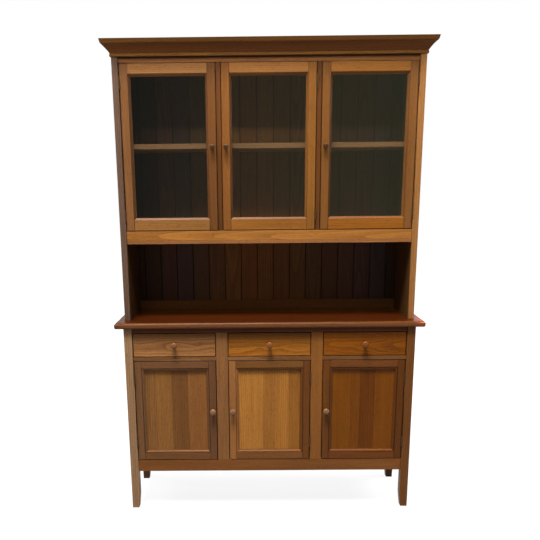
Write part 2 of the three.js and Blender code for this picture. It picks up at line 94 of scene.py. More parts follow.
def linear(code: str) -> tuple[float, float, float, float]:
    """Turns a colour from sRGB to the linear values that shaders take.

    Args:
        code: The colour as six hexadecimal digits.

    Returns:
        Linear red, green and blue, and an alpha of 1.
    """
    parts = [int(code[i : i + 2], 16) / 255 for i in (0, 2, 4)]
    red, green, blue = (p / 12.92 if p <= 0.04045 else ((p + 0.055) / 1.055) ** 2.4 for p in parts)
    return red, green, blue, 1.0


def add_node(tree: Tree, kind: str, inputs: Mapping[str | int, Any], **settings: Any) -> bpy.types.Node:
    """Adds a node with its settings, and fills its inputs.

    Args:
        tree: The node tree that takes it.
        kind: The node's type.
        inputs: For each input, a plain value or another node's output.
        settings: The node's own properties.

    Returns:
        The new node.
    """
    made = tree.nodes.new(kind)
    for name, value in settings.items():
        setattr(made, name, value)
    for key, value in inputs.items():
        if isinstance(value, bpy.types.NodeSocket):
            tree.links.new(value, made.inputs[key])
        else:
            made.inputs[key].default_value = value
    return made


def mapped(tree: Tree, value: Any, to: tuple[Any, Any], source: Pair = (0.0, 1.0)) -> Socket:
    """Adds a node that carries a value over from its source range to another, and gives the result."""
    inputs = {"Value": value, "From Min": source[0], "From Max": source[1], "To Min": to[0], "To Max": to[1]}
    return add_node(tree, "ShaderNodeMapRange", inputs).outputs["Result"]


def combined(tree: Tree, operation: str, *values: Any, kind: str = "Math") -> Socket:
    """Adds a node that combines numbers, or vectors where its kind is VectorMath, and gives the result."""
    return add_node(tree, f"ShaderNode{kind}", dict(enumerate(values)), operation=operation).outputs[0]


def mixed(tree: Tree, share: Any, first: Any, second: Any) -> Socket:
    """Mixes two colours."""
    inputs = {"Factor": share, "A": first, "B": second}
    return add_node(tree, "ShaderNodeMix", inputs, data_type="RGBA").outputs["Result"]


def any_ray(tree: Tree, path: Mapping[str, Socket], kinds: Sequence[str], share: Any = 0.0) -> Socket:
    """Raises a share to one for rays of some kinds.

    Args:
        tree: The node tree that takes it.
        path: The outputs of its light path node.
        kinds: The kinds of ray.
        share: The share for other rays.

    Returns:
        The result.
    """
    for kind in kinds:
        share = combined(tree, "MAXIMUM", share, path[f"Is {kind} Ray"])
    return share


@dataclass(frozen=True)
class Finish:
    """What a surface is made of: a material's name, and the slot of pieces that have it."""

    name: str
    slot: str

    def material(self) -> bpy.types.Material:
        """Makes the material, once.

        Returns:
            The material.
        """
        found = bpy.data.materials.get(self.name)
        if found is None:
            found = bpy.data.materials.new(self.name)
            found.use_nodes = True
            tree = found.node_tree
            tree.nodes.clear()
            add_node(tree, "ShaderNodeOutputMaterial", {"Surface": self.surface(tree)})
        return found

    def surface(self, tree: Tree) -> Socket:
        """Builds the shader and gives its output."""
        raise NotImplementedError


@dataclass(frozen=True)
class Timber(Finish):
    """Oiled and waxed hardwood, planed and brushed out.

    It shows growth rings where the saw crossed them, fine long fibres, short dark pores, slow changes of
    colour along a board, arrises darkened as painted shade along the gaps or made paler by use and a painted
    highlight, and a soft sheen.
    """

    mean: str  # sRGB, the colour of an ordinary board
    dark: float  # the late wood's share of the mean colour
    pale: float  # the early wood's share of it
    ring_spacing: float = 6.5 * MM  # real rings of 2 to 4 mm would not show, so they are drawn wider
    # For each kind of streak: cycles a metre along the grain, its width, and its detail.
    fibres: Triple = (8.0, 3.0 * MM, 3.0)  # real ones of 0.3 mm would not show either
    bands: Triple = (1.4, 18 * MM, 2.0)
    cloud: Triple = (2.2, 110 * MM, 1.0)
    pores: Triple = (1 / (16 * MM), 2.2 * MM, 1.0)  # real ones are 3 to 6 mm long
    shares: tuple[float, ...] = (0.34, 0.5, 0.42, 0.3)  # of rings, fibres, bands and cloud in the figure
    figure: Pair = (0.5, 1.05)  # its lowest and highest value
    pore_depth: Pair = (0.65, 1.0)  # the share of the colour in a pore, and beside it
    pore_edge: Pair = (0.3, 0.42)  # the values of its noise between which a pore's edge lies
    warmth: tuple[float, ...] = (0.9, 1.0, 1.15)  # a darker streak is redder: blue falls faster than red
    swells: tuple[float, ...] = (0.6, 0.7, 0.25)  # how fibres, pores and rings raise the surface
    flame: Pair = (1.6, 16 * MM)  # how often a metre the rings wander along the board, and how far
    wander: Pair = (10.0, 2.0)  # how often a metre they do so across it, and in how much detail
    wear_and_painted_light: float = 0.5  # the share of the colour that marked arrises have: below 1 a painted shade along the gaps, above 1 wear and a painted highlight
    roughness: Pair = (0.36, 0.52)
    wax: float = 0.03
    relief: float = 0.5 * MM

    def stain(self, code: str | None) -> Vector:
        """Gives what the mean colour is multiplied by to come to a board's own, or to 1 where it has none."""
        wanted, usual = linear(code or self.mean), linear(self.mean)
        return Vector([w / u for w, u in zip(wanted[:3], usual[:3])])

    def surface(self, tree: Tree) -> Socket:
        """Builds the grain, and its colour, sheen and relief.

        Args:
            tree: The material's node tree.

        Returns:
            The shader.
        """
        grain, stain, wear_and_light = (
            add_node(tree, "ShaderNodeAttribute", {}, attribute_name=name).outputs[kind]
            for name, kind in (("grain", "Vector"), ("stain", "Vector"), ("wear_and_light", "Fac"))
        )
        rings = self.rings(tree, grain)
        fibres, bands, cloud, pores = (
            self.noise(tree, grain, (along, 1 / width, 1 / width), detail).outputs["Fac"]
            for along, width, detail in (self.fibres, self.bands, self.cloud, self.pores)
        )
        figure = self.summed(tree, (rings, fibres, bands, cloud), self.shares)
        level = mapped(tree, figure, (self.dark, self.pale), self.figure)
        speck = mapped(tree, pores, self.pore_depth, self.pore_edge)
        specked = combined(tree, "MULTIPLY", level, speck)
        # Marked faces take the edge factor: painted shade along the gaps below 1, wear and a painted
        # highlight above 1.
        shade = combined(tree, "MULTIPLY", specked, mapped(tree, wear_and_light, (1.0, self.wear_and_painted_light)))
        tints = [combined(tree, "POWER", shade, power) for power in self.warmth]
        tint = add_node(tree, "ShaderNodeCombineXYZ", dict(enumerate(tints))).outputs[0]
        stained = combined(tree, "MULTIPLY", stain, linear(self.mean)[:3], kind="VectorMath")
        height = self.summed(tree, (fibres, speck, rings), self.swells)
        bump = add_node(tree, "ShaderNodeBump", {"Strength": 0.35, "Distance": self.relief, "Height": height})
        inputs = {
            "Base Color": combined(tree, "MULTIPLY", stained, tint, kind="VectorMath"),
            "Roughness": mapped(tree, fibres, self.roughness[::-1]),
            "Normal": bump.outputs["Normal"],
            "IOR": 1.47,
            "Specular IOR Level": 0.12,
            "Coat Weight": self.wax,
            "Coat Roughness": 0.3,
        }
        return add_node(tree, "ShaderNodeBsdfPrincipled", inputs).outputs[0]

    def rings(self, tree: Tree, grain: Socket) -> Socket:
        """Adds the growth rings round the heart, pushed out of round.

        Args:
            tree: The material's node tree.
            grain: The timber's own coordinates.

        Returns:
            The pattern.
        """
        across, detail = self.wander
        drift = self.noise(tree, grain, (self.flame[0], across, across), detail).outputs["Color"]
        push = (0.0, self.flame[1], self.flame[1])
        # At a scale of one the node's rings lie tau / 20 apart.
        inputs = {
            "Vector": combined(tree, "MULTIPLY_ADD", drift, push, grain, kind="VectorMath"),
            "Scale": math.tau / 20 / self.ring_spacing,
            "Distortion": 0.0,
        }
        settings = {"wave_type": "RINGS", "rings_direction": "X", "wave_profile": "SAW"}
        return add_node(tree, "ShaderNodeTexWave", inputs, **settings).outputs["Fac"]

    def noise(self, tree: Tree, grain: Socket, stretch: Place, detail: float) -> bpy.types.Node:
        """Adds noise with so many cycles a metre along, across and through the timber."""
        scaled = combined(tree, "MULTIPLY", grain, stretch, kind="VectorMath")
        return add_node(tree, "ShaderNodeTexNoise", {"Vector": scaled, "Scale": 1.0, "Detail": detail})

    def summed(self, tree: Tree, patterns: Sequence[Socket], shares: Sequence[float]) -> Socket:
        """Adds up patterns.

        Args:
            tree: The material's node tree.
            patterns: The patterns.
            shares: What each is multiplied by.

        Returns:
            The sum.
        """
        total: Any = 0.0
        for pattern, share in zip(patterns, shares):
            total = combined(tree, "MULTIPLY_ADD", pattern, share, total)
        return total


@dataclass(frozen=True)
class Glazing(Finish):
    """Float glass: clear, faintly green, with a sharp reflection that grows towards the edges of view."""

    tint: str = "F9FBF8"

    def surface(self, tree: Tree) -> Socket:
        """Builds the clear shader and the mirror over it.

        Args:
            tree: The material's node tree.

        Returns:
            The shader.
        """
        clear = add_node(tree, "ShaderNodeBsdfTransparent", {"Color": linear(self.tint)}).outputs[0]
        mirror = add_node(tree, "ShaderNodeBsdfGlossy", {"Roughness": 0.0}).outputs[0]
        mirrored = add_node(tree, "ShaderNodeFresnel", {"IOR": 1.6}).outputs["Fac"]
        # The face by which light leaves the pane adds nothing, because the node takes it for thick glass.
        leaving = add_node(tree, "ShaderNodeNewGeometry", {}).outputs["Backfacing"]
        share = mapped(tree, leaving, (mirrored, 0.0))
        return add_node(tree, "ShaderNodeMixShader", {0: share, 1: clear, 2: mirror}).outputs[0]


@dataclass(frozen=True)
class Bronze(Finish):
    """Bronzed steel, as butt hinges are sold: dark brown, a little brighter where the patina is thin."""

    mean: str = "3A2A1B"
    bright: str = "564028"
    patina_grain: float = 6 * MM
    roughness: Pair = (0.6, 0.42)

    def surface(self, tree: Tree) -> Socket:
        """Builds the metal and its uneven patina.

        Args:
            tree: The material's node tree.

        Returns:
            The shader.
        """
        place = add_node(tree, "ShaderNodeTexCoord", {}).outputs["Object"]
        inputs = {"Vector": place, "Scale": 1 / self.patina_grain, "Detail": 3.0}
        noise = add_node(tree, "ShaderNodeTexNoise", inputs).outputs["Fac"]
        inputs = {
            "Base Color": mixed(tree, noise, linear(self.mean), linear(self.bright)),
            "Roughness": mapped(tree, noise, self.roughness),
            "Metallic": 0.85,
        }
        return add_node(tree, "ShaderNodeBsdfPrincipled", inputs).outputs[0]


@dataclass(frozen=True)
class FloorPaint(Finish):
    """Matt white floor paint, which glows where it is seen, so that it is white and still keeps a shadow."""

    seen: float = 0.12  # how much light it returns where it is seen, and elsewhere
    unseen: float = 0.14
    near: Pair = (1.2, 0.87)  # a distance from the cupboard, and the glow there
    far: Pair = (4.0, 1.0)

    def surface(self, tree: Tree) -> Socket:
        """Builds the paint, which whitens away from the cupboard, so that no horizon shows.

        Args:
            tree: The material's node tree.

        Returns:
            The shader.
        """
        path = add_node(tree, "ShaderNodeLightPath", {}).outputs
        paint, dull = (
            add_node(tree, "ShaderNodeBsdfDiffuse", {"Color": (share, share, share, 1)}).outputs[0]
            for share in (self.seen, self.unseen)
        )
        place = add_node(tree, "ShaderNodeTexCoord", {}).outputs["Object"]
        away = add_node(tree, "ShaderNodeVectorMath", {0: place}, operation="LENGTH").outputs["Value"]
        strength = mapped(tree, away, (self.near[1], self.far[1]), (self.near[0], self.far[0]))
        glow = add_node(tree, "ShaderNodeEmission", {"Color": (1, 1, 1, 1), "Strength": strength}).outputs[0]
        bright = add_node(tree, "ShaderNodeAddShader", {0: paint, 1: glow}).outputs[0]
        seen = any_ray(tree, path, ("Camera", "Glossy", "Transmission"))
        return add_node(tree, "ShaderNodeMixShader", {0: seen, 1: dull, 2: bright}).outputs[0]


CASE = Timber("case_hardwood", "case_wood", "96683F", 0.66, 1.3)
HONEY = Timber("honey_hardwood", "door_wood", "98683D", 0.68, 1.28)
RUSSET = Timber("russet_hardwood", "door_wood", "6E4A31", 0.7, 1.26)
PANEL = Timber("panel_hardwood", "panel_wood", "84582E", 0.66, 1.3)
FLAMED = Timber("flame_figured_hardwood", "panel_wood", "84582E", 0.56, 1.42, flame=(4.2, 24 * MM))
# Its edge factor above 1 makes the nose paler: partly wear, partly a painted highlight.
WALNUT = Timber(
    "dark_stained_hardwood", "worktop_wood", "441F08", 0.7, 1.3, wear_and_painted_light=1.9, roughness=(0.26, 0.36), wax=0.0
)
# Its edge factor above 1 paints a highlight on the cornice's bead.
MOULDED = Timber("stained_cornice_hardwood", "case_wood", "5E3209", 0.72, 1.26, wear_and_painted_light=1.7)
BACKING = Timber(
    "back_board_hardwood", "back_wood", "6E4420", 0.66, 1.28, wear_and_painted_light=0.35, roughness=(0.45, 0.6), wax=0.02
)
TURNED = Timber(
    "turned_hardwood", "knob_wood", "6E4A33", 0.75, 1.2, wear_and_painted_light=1.2, roughness=(0.22, 0.34), wax=0.2
)
GLASS = Glazing("clear_float_glass", "pane_glass")
BRONZE = Bronze("bronzed_steel", "hinge_metal")
FLOOR_PAINT = FloorPaint("white_floor_paint", "floor")


@dataclass(frozen=True)
class Stick:
    """One length of timber: which way it runs, where the log's heart lay beside it, and its own colour."""

    order: tuple[int, int, int]  # the axes along, across and through it
    middle: Vector
    heart: Pair
    lean: float
    shift: float
    stain: Vector

    def place(self, point: Vector) -> Vector:
        """Turns a point of the cupboard into distances along the log, and from its heart.

        Args:
            point: The place in metres.

        Returns:
            The distances along, across and through.
        """
        along, across, through = (point[axis] - self.middle[axis] for axis in self.order)
        beyond = through + self.heart[1] + self.lean * along
        return Vector((along + self.shift, across + self.heart[0], beyond))


def block(low: Place, high: Place) -> Shell:
    """Cuts a square block.

    Args:
        low: Its lowest corner.
        high: Its highest corner.

    Returns:
        The block as a mesh being worked.
    """
    shell = bmesh.new()
    bmesh.ops.create_cube(shell, size=1.0)
    bmesh.ops.scale(shell, vec=Vector(high) - Vector(low), verts=shell.verts)
    bmesh.ops.translate(shell, vec=(Vector(high) + Vector(low)) / 2, verts=shell.verts)
    return shell


def drum(shell: Shell, matrix: Matrix, radius: float, height: float, sides: int) -> Shell:
    """Adds a cylinder to a shape.

    Args:
        shell: The mesh being worked.
        matrix: Where its middle lies and how it is turned; unturned it is upright.
        radius: Its radius.
        height: Its height.
        sides: How many faces make the round.

    Returns:
        The same mesh.
    """
    sizes = {"radius1": radius, "radius2": radius, "depth": height}
    bmesh.ops.create_cone(shell, cap_ends=True, segments=sides, matrix=matrix, **sizes)
    return shell


def ease(
    shell: Shell, width: float, edges: Iterable[Edge] | None = None, segments: int = 2, marked_for_wear_and_light: bool = True
) -> None:
    """Rounds edges over.

    Args:
        shell: The mesh being worked.
        width: How far the rounding reaches.
        edges: The edges, or None for all of them.
        segments: How many faces make the round; one leaves a flat bevel.
        marked_for_wear_and_light: Whether its colour takes the finish's edge factor: painted shade along the
            gaps below 1, use and a painted highlight above it.
    """
    made = bmesh.ops.bevel(
        shell,
        geom=list(shell.edges if edges is None else edges),
        offset=width,
        offset_type="OFFSET",
        segments=segments,
        profile=0.5,
        affect="EDGES",
        material=-1,
        clamp_overlap=True,
    )
    for face in made["faces"]:
        face.smooth = segments > 1
        face.material_index = int(marked_for_wear_and_light)


def edges_where(shell: Shell, test: Callable[[Vector, Vector], bool]) -> list[Edge]:
    """Finds the edges whose two ends pass a test."""
    return [edge for edge in shell.edges if test(*(vert.co for vert in edge.verts))]


def cut(shell: Shell, place: Place, normal: Place, keep: bool = False) -> None:
    """Cuts a shape with a plane.

    Args:
        shell: The mesh being worked.
        place: A point of the plane.
        normal: The plane's direction, towards what is cut off.
        keep: Whether nothing is cut off, and the plane only leaves a line of edges.
    """
    made = bmesh.ops.bisect_plane(
        shell,
        geom=[*shell.verts, *shell.edges, *shell.faces],
        dist=ON_PLANE,
        plane_co=place,
        plane_no=normal,
        clear_outer=not keep,
    )
    if not keep:
        rim = [item for item in made["geom_cut"] if isinstance(item, Edge)]
        bmesh.ops.holes_fill(shell, edges=rim)


def linked(name: str, shell: Shell) -> bpy.types.Object:
    """Turns a shape into an object of the scene.

    Args:
        name: The object's name.
        shell: The shape; it is used up.

    Returns:
        The object.
    """
    mesh = bpy.data.meshes.new(name)
    shell.to_mesh(mesh)
    shell.free()
    made = bpy.data.objects.new(name, mesh)
    bpy.context.scene.collection.objects.link(made)
    return made


def sawn_apart(shell: Shell, axis: Axis, cuts: Sequence[float]) -> list[Shell]:
    """Saws a shape into boards.

    Args:
        shell: The mesh being worked; it is used up.
        axis: The direction that the cuts divide.
        cuts: Where the saw goes, in rising order.

    Returns:
        One closed mesh for each board.
    """
    normal = (RIGHT, DEEP, UP)[axis.value]
    limits = [None, *cuts, None]
    boards = []
    for low, high in zip(limits, limits[1:]):
        part = shell.copy()
        for place, way in ((low, -normal), (high, normal)):
            if place is not None:
                cut(part, normal * place, way)
        boards.append(part)
    shell.free()
    return boards


def hollowed(shell: Shell, rods: Sequence[tuple[Vector, float, float]]) -> Shell:
    """Cuts upright round hollows out of a shape.

    Args:
        shell: The mesh being worked; it is used up.
        rods: For each hollow its foot, radius and height.

    Returns:
        The cut mesh.
    """
    cutter = bmesh.new()
    for foot, radius, height in rods:
        drum(cutter, Matrix.Translation(foot + UP * height / 2), radius, height, HOLLOW_SIDES)
    blank, tool = (linked("cutting", work) for work in (shell, cutter))
    change = blank.modifiers.new("cut", "BOOLEAN")
    change.operation, change.solver, change.object = "DIFFERENCE", "EXACT", tool
    result = bmesh.new()
    result.from_object(blank, bpy.context.evaluated_depsgraph_get())
    for item in (blank, tool):
        mesh = item.data
        bpy.data.objects.remove(item)
        bpy.data.meshes.remove(mesh)
    return result


def spun(profile: Sequence[Pair], seat: Vector, turns: int = 48) -> Shell:
    """Turns a shape on the lathe, its axis running towards the viewer.

    Args:
        profile: Radius and reach of each point, from the seat outwards; both ends are on the axis.
        seat: Where the axis meets the wood.
        turns: How many steps make the round.

    Returns:
        The closed mesh.
    """
    shell = bmesh.new()
    line = [shell.verts.new(seat + Vector((radius, -reach, 0))) for radius, reach in profile]
    edges = [shell.edges.new(pair) for pair in zip(line, line[1:])]
    turn = {"cent": seat, "axis": (0, 1, 0), "angle": math.tau, "steps": turns}
    bmesh.ops.spin(shell, geom=[*line, *edges], use_merge=True, use_duplicate=False, **turn)
    bmesh.ops.remove_doubles(shell, verts=shell.verts, dist=WELD)
    for face in shell.faces:
        face.smooth = True
    return shell


def rounded_line(points: Sequence[Pair], steps: int) -> list[Pair]:
    """Draws a smooth curve through points.

    Args:
        points: The points.
        steps: How many steps to take between two of them.

    Returns:
        The points of the curve, both ends among them.
    """
    padded = [points[0], *points, points[-1]]
    curve = []
    for ends in zip(padded, padded[1:], padded[2:], padded[3:]):
        for step in range(steps):
            t = step / steps
            radius, reach = (
                q + ((r - p) * t + (2 * p - 5 * q + 4 * r - s) * t**2 + (3 * q - p - 3 * r + s) * t**3) / 2
                for p, q, r, s in zip(*ends)
            )
            curve.append((max(radius, 0.0), reach))
    return [*curve, points[-1]]


def round_opening(x: Place, face: float, z: Place) -> tuple[tuple[Vector, Vector, Vector], ...]:
    """Gives where the mouldings at the left, right, bottom and top of an opening start, run and point.

    Args:
        x: The opening's left and right.
        face: How deep the mouldings start.
        z: The opening's bottom and top.

    Returns:
        For each a starting point, the way along it and the direction inwards.
    """
    wide, tall = RIGHT * (x[1] - x[0]), UP * (z[1] - z[0])
    foot, far, head = (Vector((x[i], face, z[k])) for i, k in ((0, 0), (1, 0), (0, 1)))
    return (foot, tall, RIGHT), (far, tall, -RIGHT), (foot, wide, UP), (head, wide, -UP)


@dataclass(frozen=True)
class Run:
    """A length of moulding: a section carried along a line, its ends cut square or mitred.

    The section's first number is measured along `inward` and its second along `deep`.
    """

    section: Sequence[Pair]
    start: Vector
    along: Vector
    inward: Vector
    deep: Vector
    mitres: Pair = (0.0, 0.0)  # how far each end moves along the run for each metre inward
    curved: Span = (0, 0)  # the first and last point between which the section is a curve
    wear_and_painted_light: Span = (0, 0)  # and those whose colour takes the finish's edge factor, painted light and shade
    crease: float = math.radians(50)

    def shell(self) -> Shell:
        """Extrudes the section and cuts the ends.

        Returns:
            The closed mesh.
        """
        shell = bmesh.new()
        verts = [shell.verts.new(self.start + self.inward * p + self.deep * q) for p, q in self.section]
        made = bmesh.ops.extrude_face_region(shell, geom=[shell.faces.new(verts)], use_keep_orig=True)
        moved = [item for item in made["geom"] if isinstance(item, bmesh.types.BMVert)]
        bmesh.ops.translate(shell, vec=self.along, verts=moved)
        way = self.along.normalized()
        for group, mitre in ((verts, self.mitres[0]), (moved, self.mitres[1])):
            for vert in group:
                vert.co += way * mitre * (vert.co - self.start).dot(self.inward)
        spans = (self.curved, self.wear_and_painted_light)
        rounded, marked_for_wear_and_light = ({frozenset(verts[i : i + 2]) for i in range(*span)} for span in spans)
        for face in shell.faces:
            sides = {frozenset(edge.verts) for edge in face.edges}
            if len(sides) == 4:
                face.smooth = bool(sides & rounded)
                face.material_index = int(bool(sides & marked_for_wear_and_light))
        bmesh.ops.recalc_face_normals(shell, faces=shell.faces)
        for edge in shell.edges:
            edge.smooth = edge.calc_face_angle(0.0) < self.crease
        return shell


class Joinery:
    """Gathers the boards of one piece, each with its own grain, and makes them one mesh."""

    heart_play: Pair = (12 * MM, 8 * MM)  # how far chance moves a log's heart, across and through
    leans: Pair = (0.012, 0.04)  # how much a board leaves its log's line, from least to most
    log_length: float = 9.0  # how far along its log a board may lie, to both sides

    def __init__(self, name: str, finish: Finish) -> None:
        """Starts a piece.

        Args:
            name: The piece's name.
            finish: What it is made of.
        """
        self.name = name
        self.finish = finish
        self.dice = random.Random(name)
        self.work = bmesh.new()

    def stick(
        self,
        low: Place,
        high: Place,
        grain: Axis,
        sawn: Sawn = Sawn.QUARTER,
        colour: str | None = None,
        vary: float = 0.05,
    ) -> Stick:
        """Picks the timber for a board.

        Args:
            low: The board's lowest corner.
            high: Its highest corner.
            grain: The way that it runs.
            sawn: How it was sawn.
            colour: Its mean colour in sRGB, or None for the timber's own.
            vary: How far its lightness may differ by chance.

        Returns:
            The length of timber.
        """
        others = sorted((i for i in range(3) if i != grain.value), key=lambda i: low[i] - high[i])
        across, through = sawn.value
        across *= self.dice.choice((-1, 1))
        stain = self.finish.stain(colour) if isinstance(self.finish, Timber) else Vector(PLAIN)
        return Stick(
            order=(grain.value, others[0], others[1]),
            middle=(Vector(low) + Vector(high)) / 2,
            heart=tuple(
                place + self.dice.uniform(-play, play)
                for place, play in zip((across, through), self.heart_play)
            ),
            lean=self.dice.uniform(*self.leans) * self.dice.choice((-1, 1)),
            shift=self.dice.uniform(-self.log_length, self.log_length),
            stain=stain * (1 + self.dice.uniform(-vary, vary)),
        )

    def add(self, shell: Shell, stick: Stick, tone: Tone | None = None) -> None:
        """Adds a finished shape, cut from a length of timber.

        Args:
            shell: The mesh being worked; it is used up.
            stick: Its timber.
            tone: How its colour changes from place to place.
        """
        bmesh.ops.recalc_face_normals(shell, faces=shell.faces)
        grain, stain = (shell.verts.layers.float_vector.new(name) for name in ("grain", "stain"))
        wear_and_light = shell.loops.layers.float.new("wear_and_light")
        for vert in shell.verts:
            vert[grain] = stick.place(vert.co)
            vert[stain] = Matrix.Diagonal(tone(vert.co)) @ stick.stain if tone else stick.stain
        for face in shell.faces:
            for corner in face.loops:
                corner[wear_and_light] = float(face.material_index)
            face.material_index = 0
        mesh = bpy.data.meshes.new("board")
        shell.to_mesh(mesh)
        shell.free()
        self.work.from_mesh(mesh)
        bpy.data.meshes.remove(mesh)

    def plank(
        self,
        low: Place,
        high: Place,
        grain: Axis,
        sawn: Sawn = Sawn.QUARTER,
        colour: str | None = None,
        arris: float = ARRIS,
        top: float = 1.0,
    ) -> Stick:
        """Adds a planed board with its arrises taken off.

        Args:
            low: Its lowest corner.
            high: Its highest corner.
            grain: The way that it runs.
            sawn: How it was sawn.
            colour: Its mean colour in sRGB, or None for the timber's own.
            arris: How wide the edges are rounded.
            top: What the colour is multiplied by along its top, a painted shadow where something above shades
                it.

        Returns:
            The length of timber it was cut from.
        """
        stick = self.stick(low, high, grain, sawn, colour)
        shell = block(low, high)
        ease(shell, arris)
        # Above its middle the colour takes the top's factor, a painted shadow.
        self.add(shell, stick, lambda place: (top if place.z > stick.middle.z else 1.0,) * 3)
        return stick

    def glued_up(
        self,
        shell: Shell,
        low: Place,
        high: Place,
        grain: Axis,
        across: Axis,
        boards: int | Sequence[float],
        colours: Sequence[str | None] = (None,),
        sawn: Sequence[Sawn] = (Sawn.RIFT, Sawn.QUARTER),
        toned: Callable[[Stick], Tone] | None = None,
    ) -> None:
        """Adds a shape glued up from boards side by side.

        Args:
            shell: The shape, used up.
            low: Its lowest corner.
            high: Its highest corner.
            grain: The way that the boards run.
            across: The direction in which they lie side by side.
            boards: How many of equal width, or the share of the width where each joint lies.
            colours: Their mean colours, from the low side, repeated as needed.
            sawn: How they were sawn, repeated as needed.
            toned: Gives how a board's colour changes from place to place.
        """
        start, size = low[across.value], high[across.value] - low[across.value]
        shares = [i / boards for i in range(1, boards)] if isinstance(boards, int) else list(boards)
        edges = [start, *(start + share * size for share in shares), start + size]
        for i, part in enumerate(sawn_apart(shell, across, edges[1:-1])):
            bottom, top = list(low), list(high)
            bottom[across.value], top[across.value] = edges[i], edges[i + 1]
            stick = self.stick(bottom, top, grain, sawn[i % len(sawn)], colours[i % len(colours)])
            self.add(part, stick, toned(stick) if toned else None)

    def board(self, body: str, node: str, *look: Any) -> None:
        """Builds a whole piece as one board, with the grain and so on that plank takes, and places it."""
        self.plank(*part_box(node), *look)
        self.place(body, node)

    def panel(self, body: str, node: str, arris: float, *layout: Any) -> None:
        """Builds a whole piece as one panel glued up from boards, and places it.

        Args:
            body: The body that carries it.
            node: The CAD node that it stands for.
            arris: How wide its edges are rounded.
            layout: How it is glued up, from the grain's direction on.
        """
        low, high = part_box(node)
        shell = block(low, high)
        ease(shell, arris)
        self.glued_up(shell, low, high, *layout)
        self.place(body, node)

    def place(self, body: str, *nodes: str) -> None:
        """Makes the piece and sets it on the body that carries it.

        Args:
            body: The body's name.
            nodes: The CAD nodes that the piece stands for.
        """
        piece = linked(self.name, self.work)
        piece.data.materials.append(self.finish.material())
        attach(piece, body)
        if nodes:
            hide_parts(*nodes)
        log.info("%s on %s: %d faces", self.name, body, len(piece.data.polygons))


@dataclass
class Knobs:
    """Turned knobs: a flared foot, a slim neck and a mushroom head."""

    # Each point's share of the radius and of the reach, from the seat outwards.
    shares: tuple[Pair, ...] = (
        (0.62, 0.0), (0.64, 0.07), (0.5, 0.16), (0.42, 0.32), (0.48, 0.46),
        (0.84, 0.56), (1.0, 0.7), (0.94, 0.85), (0.66, 0.96), (0.0, 1.0),
    )
    spigot: float = 12 * MM
    fuller: float = 1.12  # how much wider than in CAD
    steps: int = 4

    def build(self, node: str, body: str, colour: str) -> None:
        """Turns the knob that stands for a node.

        Args:
            node: The CAD knob.
            body: The body that it rides on.
            colour: Its own colour in sRGB.
        """
        low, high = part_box(node)
        radius = (high[0] - low[0]) / 2 * self.fuller
        reach = high[1] - low[1] - self.spigot
        seat = Vector(((low[0] + high[0]) / 2, high[1] - self.spigot, (low[2] + high[2]) / 2))
        points = [(share * radius, out * reach) for share, out in self.shares]
        profile = [(0.0, 0.0), *rounded_line(points, self.steps)]
        work = Joinery(f"turned_{node}", TURNED)
        work.add(spun(profile, seat), work.stick(low, high, Axis.DEPTH, Sawn.RIFT, colour))
        work.place(body, node)


